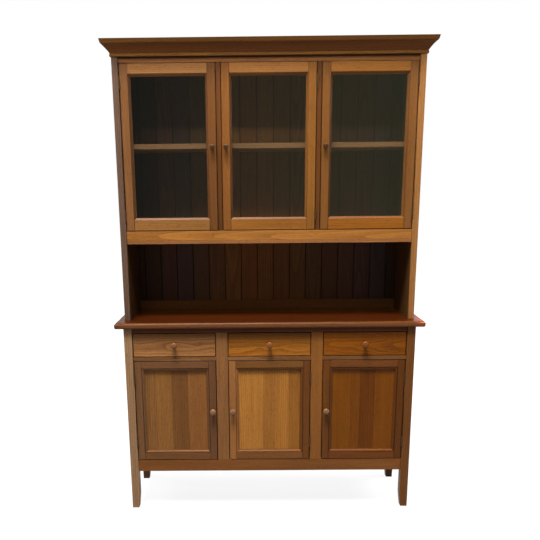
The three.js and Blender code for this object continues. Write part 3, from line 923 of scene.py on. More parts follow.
@dataclass
class Hinges:
    """Butt hinges: one leaf and three knuckles on the post, the other leaf and two knuckles on the door."""

    knuckles: int = 5
    barrel: float = 3.5 * MM
    hollow: float = 3.9 * MM  # the radius of the hollow that lets the barrel into its post
    hollow_slack: float = 0.4 * MM
    pin: float = 1.5 * MM
    play: float = 0.15 * MM
    leaf: Pair = (0.2 * MM, 1.4 * MM)
    door_leaf: Pair = (1.7 * MM, 2.9 * MM)
    plate_start: float = 3.7 * MM
    half_reveal: float = 1.5 * MM
    rim: float = 0.3 * MM  # how far edges are rounded, and knuckles lap on to their leaf
    rod_sides: int = 32
    screw: float = 2.3 * MM
    screw_rise: float = 0.2 * MM
    screw_slot: float = 0.3 * MM  # half its width
    screw_sides: int = 24
    screw_heights: tuple[float, ...] = (0.16, 0.5, 0.84)

    def hollows(self, hinge: str) -> list[tuple[Vector, float, float]]:
        """Gives the hollows that let a door's two hinge barrels into a post.

        Args:
            hinge: The beginning of the two hinge nodes' names.

        Returns:
            For each hollow its foot, radius and height.
        """
        rods = []
        for end in ("lower", "upper"):
            low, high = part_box(f"{hinge}_{end}")
            foot = Vector(((low[0] + high[0]) / 2, low[1] + self.barrel, low[2] - self.hollow_slack))
            rods.append((foot, self.hollow, high[2] - low[2] + 2 * self.hollow_slack))
        return rods

    def build(self) -> None:
        """Builds both halves of every hinge."""
        for row in ("lower", "upper"):
            for bay in BAYS:
                for end in ("lower", "upper"):
                    self.hinge(row, bay, end)

    def hinge(self, row: str, bay: str, end: str) -> None:
        """Builds one hinge.

        Args:
            row: Lower or upper doors.
            bay: Which door.
            end: The door's lower or upper hinge.
        """
        node = f"{row}_hinge_{bay}_{end}"
        low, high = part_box(node)
        axis = Vector(((low[0] + high[0]) / 2, low[1] + self.barrel, low[2]))
        inward = -1 if HUNG_ON_RIGHT[bay] else 1
        post = axis.x - inward * self.half_reveal
        plate = axis.y + self.plate_start
        height = high[2] - low[2]
        step = height / self.knuckles
        size = step - 2 * self.play
        for half, leaf, turns, body, nodes in (
            ("post", self.leaf, range(0, self.knuckles, 2), "case", (node,)),
            ("door", self.door_leaf, range(1, self.knuckles, 2), f"{bay}_{row}_door", ()),
        ):
            work = Joinery(f"{row}_{bay}_{end}_hinge_{half}_half", BRONZE)
            stick = work.stick(low, high, Axis.HEIGHT)
            x = sorted(post + inward * side for side in leaf)
            shell = block((x[0], plate, low[2]), (x[1], high[1], high[2]))
            ease(shell, self.rim, marked_for_wear_and_light=False)
            work.add(shell, stick)
            for foot in (low[2] + i * step + self.play for i in turns):
                work.add(self.rod(axis, foot, size, self.barrel), stick)
                work.add(block((x[0], axis.y, foot), (x[1], plate + self.rim, foot + size)), stick)
            if half == "post":
                work.add(self.rod(axis, low[2], height, self.pin), stick)
            face = x[1] if (half == "post") == (inward > 0) else x[0]
            for share in self.screw_heights:
                place = Vector((face, (plate + high[1]) / 2, low[2] + share * height))
                for side in (-1, 1):
                    work.add(self.half_screw(place, side), stick)
            work.place(body, *nodes)

    def rod(self, axis: Vector, foot: float, height: float, radius: float) -> Shell:
        """Makes an upright rod round the hinge's axis, its rims taken off.

        Args:
            axis: A point of the axis.
            foot: How high the rod begins.
            height: Its length.
            radius: Its radius.

        Returns:
            The rod.
        """
        middle = Matrix.Translation((axis.x, axis.y, foot + height / 2))
        shell = drum(bmesh.new(), middle, radius, height, self.rod_sides)
        for face in shell.faces:
            face.smooth = len(face.verts) == 4
        ease(shell, self.rim, edges_where(shell, lambda a, b: abs(a.z - b.z) < NEAR), marked_for_wear_and_light=False)
        return shell

    def half_screw(self, place: Vector, side: int) -> Shell:
        """Makes half a countersunk head, just proud of the leaf, to one side of the screw's slot.

        Args:
            place: The head's middle.
            side: 1 for the upper half, or -1.

        Returns:
            The half disc.
        """
        turned = Matrix.Translation(place) @ Matrix.Rotation(math.pi / 2, 4, "Y")
        shell = drum(bmesh.new(), turned, self.screw, self.screw_rise, self.screw_sides)
        cut(shell, place + UP * side * self.screw_slot, UP * -side)
        return shell


@dataclass
class BaseCabinet:
    """The base: four legs, side and back panels, rails and uprights, floor, drawer deck and worktop."""

    foot_taper: float = 6 * MM
    taper_height: float = 65 * MM
    leg_ease: float = 1.4 * MM
    toe_ease: float = 2.5 * MM
    rail_ease: float = 1 * MM
    board_ease: float = 0.6 * MM
    edge_ease: float = 0.5 * MM
    notch_ease: float = 0.2 * MM
    nose: float = 9 * MM
    nose_steps: int = 6
    nose_wear_and_light: Pair = (-0.3, 0.6)  # nose faces whose normal is below this in depth and in height are paler: partly wear, partly a painted highlight on the nose's lower half
    # Where the worktop's joints lie, as shares of its depth, and its boards' colours; the narrow front board
    # along the nose is paler, a painted highlight, and the rear board is paler, painted light where the
    # canopy shades it.
    top_boards: tuple[tuple[float, ...], tuple[str, ...]] = (
        (0.03, 0.34, 0.69),
        ("512C12", "361503", "3D1803", "663B0C"),
    )
    end_joint: float = 640 * MM  # past it the boards have the colour of the worktop's ends
    # Past the upper cabinet the boards share these colours, without the painted light of the bay; the right
    # end is paler, a painted highlight.
    ends: tuple[str, str] = ("42200C", "6E2E0C")
    deck_thickness: float = 18 * MM
    seat_gap: float = 0.2 * MM
    reveal: float = 3 * MM
    guide_gap: float = 2.8 * MM
    back_boards: int = 11
    legs: tuple[tuple[str, str], ...] = (
        ("front_left", "987453"),
        ("front_right", "6B401A"),
        ("rear_left", "5A4028"),
        ("rear_right", "5C3A20"),
    )
    sides: tuple[tuple[str, tuple[str, ...]], ...] = (
        ("left", ("7A5432", "70492A", "7A5432")),
        ("right", ("6A4425", "62401F", "6A4425")),
    )
    deck_colours: tuple[str, ...] = ("7E5531", "7E5531", "744B28")
    # For each rail and upright: node, name, grain, colour, and how its top is darkened, a painted shadow
    # under the worktop's nose.
    rails: tuple[tuple[str, str, Axis, str, float], ...] = (
        # The rail under the worktop is darkened along its top, a painted shadow of the nose.
        ("base_top_rail", "rail_over_drawers", Axis.WIDTH, "6C3309", 0.12),
        ("base_bottom_rail", "rail_under_doors", Axis.WIDTH, "7A4A21", 1.0),
        ("base_upright_left", "upright_base_left", Axis.HEIGHT, "865932", 1.0),
        ("base_upright_right", "upright_base_right", Axis.HEIGHT, "885424", 1.0),
    )

    def build(self, hinges: Hinges) -> None:
        """Builds every piece of the base.

        Args:
            hinges: The hinges, which know the hollows for their barrels.
        """
        for corner, colour in self.legs:
            self.leg(corner, colour, hinges)
        for side, colours in self.sides:
            work = Joinery(f"side_panel_{side}", CASE)
            work.panel("case", f"base_side_{side}", ARRIS, Axis.HEIGHT, Axis.DEPTH, 3, colours)
        boards = Joinery("base_back_boards", BACKING)
        boards.panel("case", "base_back", ARRIS, Axis.HEIGHT, Axis.WIDTH, self.back_boards)
        for node, name, grain, colour, top in self.rails:
            Joinery(name, CASE).board("case", node, grain, Sawn.QUARTER, colour, self.rail_ease, top)
        floor = Joinery("base_floor_boards", CASE)
        self.between_legs(floor, *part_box("base_floor"))
        floor.place("case", "base_floor")
        self.deck()
        self.worktop()

    def leg(self, corner: str, colour: str, hinges: Hinges) -> None:
        """Builds one leg, tapered on its two inner faces at the foot.

        Args:
            corner: Which leg.
            colour: Its own colour.
            hinges: The hinges, which know the hollows for their barrels.
        """
        node = "leg_" + corner
        low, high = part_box(node)
        shell = block(low, high)
        cut(shell, UP * self.taper_height, UP, keep=True)
        ways = (1 if "left" in corner else -1, 1 if "front" in corner else -1)
        for axis, inward in enumerate(ways):
            inner = high[axis] if inward > 0 else low[axis]
            for vert in shell.verts:
                if vert.co.z < self.taper_height / 2 and abs(vert.co[axis] - inner) < NEAR:
                    vert.co[axis] -= inward * self.foot_taper
        ease(shell, self.leg_ease, edges_where(shell, lambda a, b: abs(a.z - b.z) > self.taper_height / 2))
        ease(shell, self.toe_ease, edges_where(shell, lambda a, b: max(a.z, b.z) < NEAR), segments=1)
        if "front" in corner:
            shell = hollowed(shell, hinges.hollows("lower_hinge_" + corner.split("_")[1]))
        work = Joinery(f"post_{corner}", CASE)
        work.add(shell, work.stick(low, high, Axis.HEIGHT, Sawn.RIFT, colour, 0))
        work.place("case", node)

    def between_legs(self, work: Joinery, low: Place, high: Place) -> None:
        """Adds a board that is notched round the legs.

        Args:
            work: The piece that takes it.
            low: Lowest corner of the whole board.
            high: Its highest corner.
        """
        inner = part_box("base_back")[1][0]
        panel_low, panel_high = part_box("base_side_left")
        middle = (-inner, low[1], low[2]), (inner, high[1], high[2])
        shell = block(*middle)
        ease(shell, self.board_ease, edges_where(shell, lambda a, b: max(a.y, b.y) < low[1] + NEAR))
        work.glued_up(shell, *middle, Axis.WIDTH, Axis.DEPTH, 3)
        for x0, x1 in ((low[0], -inner), (inner, high[0])):
            ends = (x0, panel_low[1], low[2]), (x1, panel_high[1], high[2])
            work.plank(*ends, Axis.WIDTH, arris=self.notch_ease)

    def deck(self) -> None:
        """Builds the deck under the drawers, its front edges between the uprights, and the drawer guides."""
        work = Joinery("drawer_deck_boards", CASE)
        low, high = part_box("drawer_deck")
        top = low[2] + self.deck_thickness
        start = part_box("base_top_rail")[1][1] + self.seat_gap
        self.between_legs(work, (low[0], start, low[2]), (high[0], high[1], top))
        for bay, colour in zip(BAYS, self.deck_colours):
            front_low, front_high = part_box(f"drawer_{bay}")
            beside = self.reveal - self.seat_gap
            ends = (front_low[0] - beside, low[1], low[2]), (front_high[0] + beside, start, top)
            work.plank(*ends, Axis.WIDTH, Sawn.QUARTER, colour, self.edge_ease)
        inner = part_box("base_back")[1][0] - self.guide_gap
        panel_low, panel_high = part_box("base_side_left")
        for side in (-1, 1):
            x = sorted((side * high[0], side * inner))
            work.plank((x[0], panel_low[1], top), (x[1], panel_high[1], high[2]), Axis.DEPTH)
        for side in ("left", "right"):
            post_low, post_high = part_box(f"base_upright_{side}")
            ends = (post_low[0] - self.reveal, start, top), (post_high[0] + self.reveal, high[1], high[2])
            work.plank(*ends, Axis.DEPTH)
        work.place("case", "drawer_deck")

    def worktop(self) -> None:
        """Builds the worktop from boards, its nose rounded along the front and both ends."""
        low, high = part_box("worktop")
        shell = block(low, high)
        rear = high[1] - NEAR
        level = edges_where(shell, lambda a, b: abs(a.z - b.z) < NEAR and min(a.y, b.y) < rear)
        ease(shell, self.nose, level, segments=self.nose_steps)
        forward, upward = self.nose_wear_and_light
        # Faces turned forward and down are marked: partly wear, partly a painted highlight.
        for face in shell.faces:
            face.material_index = int(face.normal.y < forward and face.normal.z < upward)
        for place in (-self.end_joint, self.end_joint):
            cut(shell, RIGHT * place, RIGHT, keep=True)
        work = Joinery("worktop_boards", WALNUT)
        sawn = (Sawn.RIFT, Sawn.FLAT)
        work.glued_up(shell, low, high, Axis.WIDTH, Axis.DEPTH, *self.top_boards, sawn, self.end_tone)
        work.place("case", "worktop")

    def end_tone(self, stick: Stick) -> Tone:
        """Gives a worktop board the ends' colour past the upper cabinet, the right end paler as a painted
        highlight.

        Args:
            stick: The board's timber.

        Returns:
            How its colour changes from place to place.
        """
        wanted = [WALNUT.stain(code) for code in self.ends]
        left, right = ([share / own for share, own in zip(end, stick.stain)] for end in wanted)
        edge = self.end_joint + MM
        return lambda place: right if place.x > edge else left if place.x < -edge else PLAIN


@dataclass
class Drawers:
    """Three drawers: a flat-sawn front, two sides and a back, and a bottom let in between them."""

    front_thickness: float = 20 * MM
    front_height: float = 105 * MM
    front_ease: float = 1 * MM
    back_ease: float = 0.4 * MM
    side_inset: float = 1 * MM
    side_thickness: float = 12 * MM
    side_drop: float = 22.7 * MM
    bottom_raise: float = 8 * MM
    bottom_thickness: float = 6 * MM
    # For each bay: the front's colour, how its top is darkened as a painted shadow of the worktop, and the
    # knob's colour.
    looks: tuple[tuple[str, float, str], ...] = (
        ("A26D3E", 0.46, "7B4F2C"),
        ("A86620", 0.31, "804B20"),
        ("7E4408", 1.0, "784015"),
    )

    def build(self, knobs: Knobs) -> None:
        """Builds the drawers and their knobs.

        Args:
            knobs: The turner of knobs.
        """
        for bay, (colour, top, knob) in zip(BAYS, self.looks):
            self.drawer(bay, colour, top)
            knobs.build(f"drawer_{bay}_knob", f"{bay}_drawer", knob)

    def drawer(self, bay: str, colour: str, shade: float) -> None:
        """Builds one drawer.

        Args:
            bay: Which bay it is in.
            colour: The front's colour.
            shade: How the front's top is darkened, a painted shadow of the worktop.
        """
        node = f"drawer_{bay}"
        low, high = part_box(node)
        front_back = low[1] + self.front_thickness
        work = Joinery(f"{bay}_drawer_box", FLAMED)
        front = (low[0], low[1], high[2] - self.front_height), (high[0], front_back, high[2])
        # The front's top is darkened as a painted shadow of the worktop.
        work.plank(*front, Axis.WIDTH, Sawn.FLAT, colour, self.front_ease, shade)
        rim = high[2] - self.side_drop
        outer = (low[0] + self.side_inset, high[0] - self.side_inset)
        inner = (outer[0] + self.side_thickness, outer[1] - self.side_thickness)
        back = high[1] - self.side_thickness
        for x0, x1 in ((outer[0], inner[0]), (inner[1], outer[1])):
            work.plank((x0, front_back, low[2]), (x1, high[1], rim), Axis.DEPTH)
        work.plank((inner[0], back, low[2]), (inner[1], high[1], rim), Axis.WIDTH, arris=self.back_ease)
        floor = low[2] + self.bottom_raise
        bottom = (inner[0], front_back, floor), (inner[1], back, floor + self.bottom_thickness)
        work.glued_up(block(*bottom), *bottom, Axis.WIDTH, Axis.DEPTH, 2)
        work.place(f"{bay}_drawer", node)


@dataclass
class FramedDoor:
    """What the two kinds of door share: two stiles and two rails, moulded round the opening."""

    stile_flat: float
    rail_flat: Pair  # bottom and top
    frames: tuple[tuple[str, ...], ...] = ()  # for each bay the colours left, right, bottom and top
    thickness: float = 22 * MM
    arris: float = 1.3 * MM
    painted_light_by_side: tuple[float, ...] = (1.0, 1.0, 1.0, 1.0)  # painted light and shade: what the left, right, bottom and top mouldings' colour is multiplied by

    def section(self) -> Moulding:
        """Gives the moulding's points, inwards and back from the face, its curved span, and the span darkened
        as painted shade.
        """
        raise NotImplementedError

    def opening(self, node: str, inset: float = 0.0) -> tuple[Place, float, Place]:
        """Gives where a frame's opening lies.

        Args:
            node: The CAD frame.
            inset: How far inside the flats of the frame it is wanted.

        Returns:
            Its left and right, the frame's face, and its bottom and top.
        """
        low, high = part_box(node)
        x = (low[0] + self.stile_flat + inset, high[0] - self.stile_flat - inset)
        return x, low[1], (low[2] + self.rail_flat[0] + inset, high[2] - self.rail_flat[1] - inset)

    def frame(self, name: str, node: str, body: str, finish: Timber, colours: Sequence[str]) -> None:
        """Builds a door's frame.

        Args:
            name: The piece's name.
            node: The CAD frame it stands for.
            body: The door's body.
            finish: What it is made of.
            colours: Mean colours of the left stile, right stile, bottom rail and top rail.
        """
        low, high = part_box(node)
        x, face, z = self.opening(node)
        bars = (
            (low[0], x[0], low[2], high[2], Axis.HEIGHT),
            (x[1], high[0], low[2], high[2], Axis.HEIGHT),
            (x[0], x[1], low[2], z[0], Axis.WIDTH),
            (x[0], x[1], z[1], high[2], Axis.WIDTH),
        )
        work = Joinery(name, finish)
        sticks = [
            work.plank((x0, face, z0), (x1, high[1], z1), grain, Sawn.QUARTER, colour, self.arris)
            for (x0, x1, z0, z1, grain), colour in zip(bars, colours)
        ]
        section, curved, marked_for_wear_and_light = self.section()
        # Each moulding's colour is multiplied by its side's painted light and shade factor.
        for stick, shade, run in zip(sticks, self.painted_light_by_side, round_opening(x, face, z)):
            moulding = Run(section, *run, DEEP, MITRED, curved, marked_for_wear_and_light)
            work.add(moulding.shell(), replace(stick, stain=stick.stain * shade))
        work.place(body, node)


@dataclass
class PanelledDoors(FramedDoor):
    """The base's doors: ovolo moulded frames with a flat panel of upright boards let into a groove."""

    stile_flat: float = 31 * MM
    rail_flat: Pair = (33 * MM, 33 * MM)
    moulding: float = 14 * MM
    quirk: Pair = (2.4 * MM, 5 * MM)
    ovolo: Pair = (7.4 * MM, 1.2 * MM)
    fillet: Pair = (7.5 * MM, 8 * MM)
    steps: int = 8
    groove: Pair = (9.8 * MM, 18.2 * MM)
    housing: float = 8 * MM
    panel_ease: float = 0.5 * MM
    knob: str = "805C3D"
    frames: tuple[tuple[str, ...], ...] = (
        ("734E30", "684328", "714826", "714A2D"),
        ("956134", "693C16", "754822", "754A22"),
        ("663A13", "5B310A", "673913", "693C18"),
    )
    # For each bay: the share of the width where each joint lies, and the boards' colours.
    panels: tuple[tuple[tuple[float, ...], tuple[str, ...]], ...] = (
        ((0.19, 0.43, 0.69), ("80552B", "885A2B", "724923", "87562A")),
        ((0.4, 0.59, 0.8), ("B07432", "966028", "A1682C", "8E5A22")),
        # The right panel's last narrow board is darker, a painted shadow of the moulding.
        ((0.31, 0.45, 0.69, 0.975), ("784205", "6C3A05", "603103", "764005", "643504")),
    )

    def section(self) -> Moulding:
        """Gives the quirk, ovolo and fillet, with the panel's groove.

        Returns:
            The points, the curved span, and the quirk's span, darkened as a painted shadow line.
        """
        turns = [math.pi / 2 * i / self.steps for i in range(self.steps + 1)]
        inner, outer = self.fillet
        start, depth = self.quirk
        width, crown = self.ovolo
        curve = [(start + width * math.sin(t), inner - (inner - crown) * math.cos(t)) for t in turns]
        foot, mouth = self.moulding - self.housing, self.moulding
        near, far = self.groove
        back = self.thickness
        rest = [(mouth, outer), (mouth, near), (foot, near), (foot, far), (mouth, far), (mouth, back)]
        # Points 0 to 2, the quirk, are darkened as a painted shadow line.
        return [(0.0, depth), (start, depth), *curve, *rest, (0.0, back)], (2, 2 + self.steps), (0, 2)

    def build(self, knobs: Knobs) -> None:
        """Builds the doors, panels and knobs.

        Args:
            knobs: The turner of knobs.
        """
        for bay, colours, layout in zip(BAYS, self.frames, self.panels):
            door, body = f"lower_door_{bay}", f"{bay}_lower_door"
            self.frame(f"{bay}_panelled_door_frame", f"{door}_frame", body, RUSSET, colours)
            work = Joinery(f"{bay}_door_panel", PANEL)
            work.panel(body, f"{door}_panel", self.panel_ease, Axis.HEIGHT, Axis.WIDTH, *layout)
            knobs.build(f"{door}_knob", body, self.knob)


@dataclass
class GlazedDoors(FramedDoor):
    """The upper doors: bevelled frames, each with one pane held from behind by four beads."""

    stile_flat: float = 34 * MM
    rail_flat: Pair = (45 * MM, 41 * MM)
    bevel_width: float = 8.5 * MM
    bevel_depth: float = 8 * MM
    rebate: float = 6 * MM
    rebate_face: float = 9.8 * MM
    pane_back: float = 14.2 * MM
    pane_ease: float = 0.4 * MM
    bead_gap: float = 0.1 * MM
    bead_round: float = 2.5 * MM
    bead_steps: int = 4
    # The left moulding is darker and the right one paler, painted as if lit from the left.
    painted_light_by_side: tuple[float, ...] = (0.7, 1.3, 1.0, 1.0)
    knob: str = "40260F"
    # Each door's top rail is paler, painted light where the cornice shades it from the lamps.
    frames: tuple[tuple[str, ...], ...] = (
        ("794F2C", "6C4320", "82562A", "956436"),
        ("7E4E22", "845422", "8E5923", "966230"),
        ("774B21", "754B24", "8C541A", "976027"),
    )

    def section(self) -> Moulding:
        """Gives the bevel's section, with the pane's rebate; nothing in it is curved.

        Returns:
            The points, the curved span, and the bevel's span, darkened as painted shade.
        """
        edge = self.bevel_width - self.rebate
        bevel = [(0.0, 0.0), (self.bevel_width, self.bevel_depth)]
        rebate = [(self.bevel_width, self.rebate_face), (edge, self.rebate_face), (edge, self.thickness)]
        # The bevel, points 0 to 1, is darkened as painted shade.
        return [*bevel, *rebate, (0.0, self.thickness)], (0, 0), (0, 1)

    def build(self, knobs: Knobs) -> None:
        """Builds the doors, panes, beads and knobs.

        Args:
            knobs: The turner of knobs.
        """
        for bay, colours in zip(BAYS, self.frames):
            door, body = f"upper_door_{bay}", f"{bay}_upper_door"
            self.frame(f"{bay}_glazed_door_frame", f"{door}_frame", body, HONEY, colours)
            self.pane(bay, body, f"{door}_glass")
            self.beads(bay, body, f"{door}_frame")
            knobs.build(f"{door}_knob", body, self.knob)

    def pane(self, bay: str, body: str, node: str) -> None:
        """Builds a door's pane, its cut edges just taken off.

        Args:
            bay: Which door.
            body: The door's body.
            node: The CAD pane.
        """
        low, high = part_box(node)
        shell = block(low, high)
        ease(shell, self.pane_ease, segments=1, marked_for_wear_and_light=False)
        work = Joinery(f"{bay}_door_pane", GLASS)
        work.add(shell, work.stick(low, high, Axis.HEIGHT))
        work.place(body, node)

    def beads(self, bay: str, body: str, node: str) -> None:
        """Builds the glazing beads behind a pane.

        Args:
            bay: Which door.
            body: The door's body.
            node: The CAD frame.
        """
        width = self.rebate - self.bead_gap
        radius, far = self.bead_round, self.thickness
        turns = [math.pi / 2 * i / self.bead_steps for i in range(self.bead_steps + 1)]
        x, y = width - radius, far - radius
        curve = [(x + radius * math.cos(t), y + radius * math.sin(t)) for t in turns]
        section = [(0.0, self.pane_back), (width, self.pane_back), *curve, (0.0, far)]
        inset = self.bevel_width - self.rebate + self.bead_gap
        work = Joinery(f"{bay}_door_beads", HONEY)
        for start, along, inward in round_opening(*self.opening(node, inset)):
            run = Run(section, start, along, inward, DEEP, MITRED, (2, 2 + self.bead_steps))
            grain = Axis.HEIGHT if along.z else Axis.WIDTH
            pairs = list(zip(start, start + along))
            low, high = [min(pair) for pair in pairs], [max(pair) + self.bead_gap for pair in pairs]
            work.add(run.shell(), work.stick(low, high, grain))
        work.place(body)


@dataclass
class UpperCabinet:
    """The upper case: side boards, top, rails, uprights, shelf and boarded back."""

    side_ease: float = 1 * MM
    shelf_ease: float = 1 * MM
    rail_ease: float = 0.6 * MM
    edge_ease: float = 0.5 * MM
    side_joints: tuple[float, ...] = (0.03, 0.36, 0.68)
    head_rail_back: float = -81.5 * MM
    head_rail_drop: float = 2 * MM  # how far it hangs lower than in CAD
    head_rail_colour: str = "84532A"
    painted_cornice_shade: Pair = (6 * MM, 13 * MM)  # painted shade: the head rail darkens under the cornice between these heights
    painted_cornice_shade_tone: Triple = (0.45, 0.4, 0.36)
    top_thickness: float = 18 * MM
    strip_depth: float = 42 * MM
    strip_joint: float = -42 * MM
    strip_colour: str = "956035"
    shelf_colours: tuple[str, str] = ("785438", "7A5230")
    board_width: float = 78 * MM
    first_board: float = 30 * MM
    groove: float = 2.4 * MM
    back_rail_height: float = 46 * MM
    back_rail_gap: float = 0.2 * MM
    boards_front: float = 159.5 * MM
    boards_vary: float = 0.12
    # Painted shade: the boards are darkest at both sides and palest in the middle, as the bays are lit;
    # boards_vary adds chance.
    board_colours: tuple[str, ...] = (
        "341C0E", "3A2212", "4A2C20", "48302A", "543822", "664022", "744A24", "70421E", "744822",
        "6C421E", "603C1C", "54361C", "4E301A", "4A2C1C", "482C24", "42302C", "382214",
    )
    sides: tuple[tuple[str, tuple[str, ...]], ...] = (
        # Behind the lipping the boards are darker as painted shade inside the case, the left darker than the
        # right.
        ("left", ("634B3C", "442C14", "442C14", "4A3018")),
        ("right", ("9B6939", "52351A", "563718", "5A3A1A")),
    )
    # For each rail and upright: node, name, grain, how it was sawn, and colour.
    rails: tuple[tuple[str, str, Axis, Sawn, str], ...] = (
        ("upper_bottom_rail", "rail_under_glazed_doors", Axis.WIDTH, Sawn.FLAT, "9B642C"),
        # The upper uprights are dark as painted shade between the doors.
        ("upper_upright_left", "upright_upper_left", Axis.HEIGHT, Sawn.QUARTER, "5C3516"),
        ("upper_upright_right", "upright_upper_right", Axis.HEIGHT, Sawn.QUARTER, "5C3516"),
    )

    def build(self, hinges: Hinges) -> None:
        """Builds every piece of the upper case.

        Args:
            hinges: The hinges, which know the hollows for their barrels.
        """
        for side, colours in self.sides:
            self.side(side, colours, hinges)
        self.top()
        for node, name, grain, sawn, colour in self.rails:
            Joinery(name, HONEY).board("case", node, grain, sawn, colour, self.rail_ease)
        self.canopy()
        work = Joinery("glazed_bay_shelf", CASE)
        work.panel("case", "upper_shelf", self.shelf_ease, Axis.WIDTH, Axis.DEPTH, 2, self.shelf_colours)
        self.back()

    def side(self, side: str, colours: Sequence[str], hinges: Hinges) -> None:
        """Builds a side board, glued up from three and lipped along the front.

        Args:
            side: Left or right.
            colours: The lipping's and the three boards' colours.
            hinges: The hinges, which know the hollows for their barrels.
        """
        node = f"upper_side_{side}"
        low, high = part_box(node)
        shell = block(low, high)
        ease(shell, self.side_ease, edges_where(shell, lambda a, b: max(a.y, b.y) < low[1] + NEAR))
        shell = hollowed(shell, hinges.hollows(f"upper_hinge_{side}"))
        work = Joinery(f"upper_side_board_{side}", CASE)
        work.glued_up(shell, low, high, Axis.HEIGHT, Axis.DEPTH, self.side_joints, colours)
        work.place("case", node)

    def top(self) -> None:
        """Builds the head rail and the top board behind it."""
        low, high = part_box("upper_top")
        work = Joinery("head_rail_and_top", CASE)
        rail = (low[0], low[1], low[2] - self.head_rail_drop), (high[0], self.head_rail_back, high[2])
        shell = block(*rail)
        ease(shell, self.edge_ease)
        for share in self.painted_cornice_shade:
            cut(shell, UP * (low[2] + share), UP, keep=True)
        stick = work.stick(*rail, Axis.WIDTH, Sawn.QUARTER, self.head_rail_colour)
        painted_cornice_shade = low[2] + self.painted_cornice_shade[0] + NEAR
        # Above the lower height the rail is darkened as painted shade under the cornice.
        work.add(shell, stick, lambda place: self.painted_cornice_shade_tone if place.z > painted_cornice_shade else PLAIN)
        board = (low[0], self.head_rail_back, high[2] - self.top_thickness), high
        work.glued_up(block(*board), *board, Axis.WIDTH, Axis.DEPTH, 2)
        work.place("case", "upper_top")

    def canopy(self) -> None:
        """Builds the board over the open bay, with a pale front strip in two lengths."""
        low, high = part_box("upper_floor")
        work = Joinery("canopy_board", CASE)
        behind = low[1] + self.strip_depth
        for x0, x1 in ((low[0], self.strip_joint), (self.strip_joint, high[0])):
            strip = (x0, low[1], low[2]), (x1, behind, high[2])
            work.plank(*strip, Axis.WIDTH, Sawn.QUARTER, self.strip_colour, self.edge_ease)
        board = (low[0], behind, low[2]), high
        work.glued_up(block(*board), *board, Axis.WIDTH, Axis.DEPTH, 2)
        work.place("case", "upper_floor")

    def back(self) -> None:
        """Builds the tongued and grooved boards, bevelled along their joints, and the rail under them."""
        low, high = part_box("upper_back")
        work = Joinery("boarded_back", BACKING)
        foot = low[2] + self.back_rail_height - self.back_rail_gap
        work.plank(low, (high[0], high[1], foot), Axis.WIDTH)
        joints = [low[0], low[0] + self.first_board]
        while joints[-1] + self.board_width < high[0]:
            joints.append(joints[-1] + self.board_width)
        joints.append(high[0])
        front = self.boards_front + NEAR
        for i, (x0, x1) in enumerate(zip(joints, joints[1:])):
            board = (x0, self.boards_front, foot), (x1, high[1], high[2])
            shell = block(*board)
            upright = edges_where(shell, lambda a, b: abs(a.x - b.x) < NEAR and max(a.y, b.y) < front)
            ease(shell, self.groove, upright, segments=1)
            colour = self.board_colours[len(self.board_colours) * i // (len(joints) - 1)]
            sawn = work.dice.choice((Sawn.QUARTER, Sawn.RIFT, Sawn.FLAT))
            stick = work.stick(*board, Axis.HEIGHT, sawn, colour, self.boards_vary)
            work.add(shell, stick, self.painted_shade_on_front_only(stick))
        work.place("case", "upper_back")

    def painted_shade_on_front_only(self, stick: Stick) -> Tone:
        """Gives a back board its listed colour, which carries painted shade, at its front only; its rear
        keeps the timber's mean colour.
        """
        plain = [1 / share for share in stick.stain]
        return lambda place: plain if place.y > stick.middle.y else PLAIN


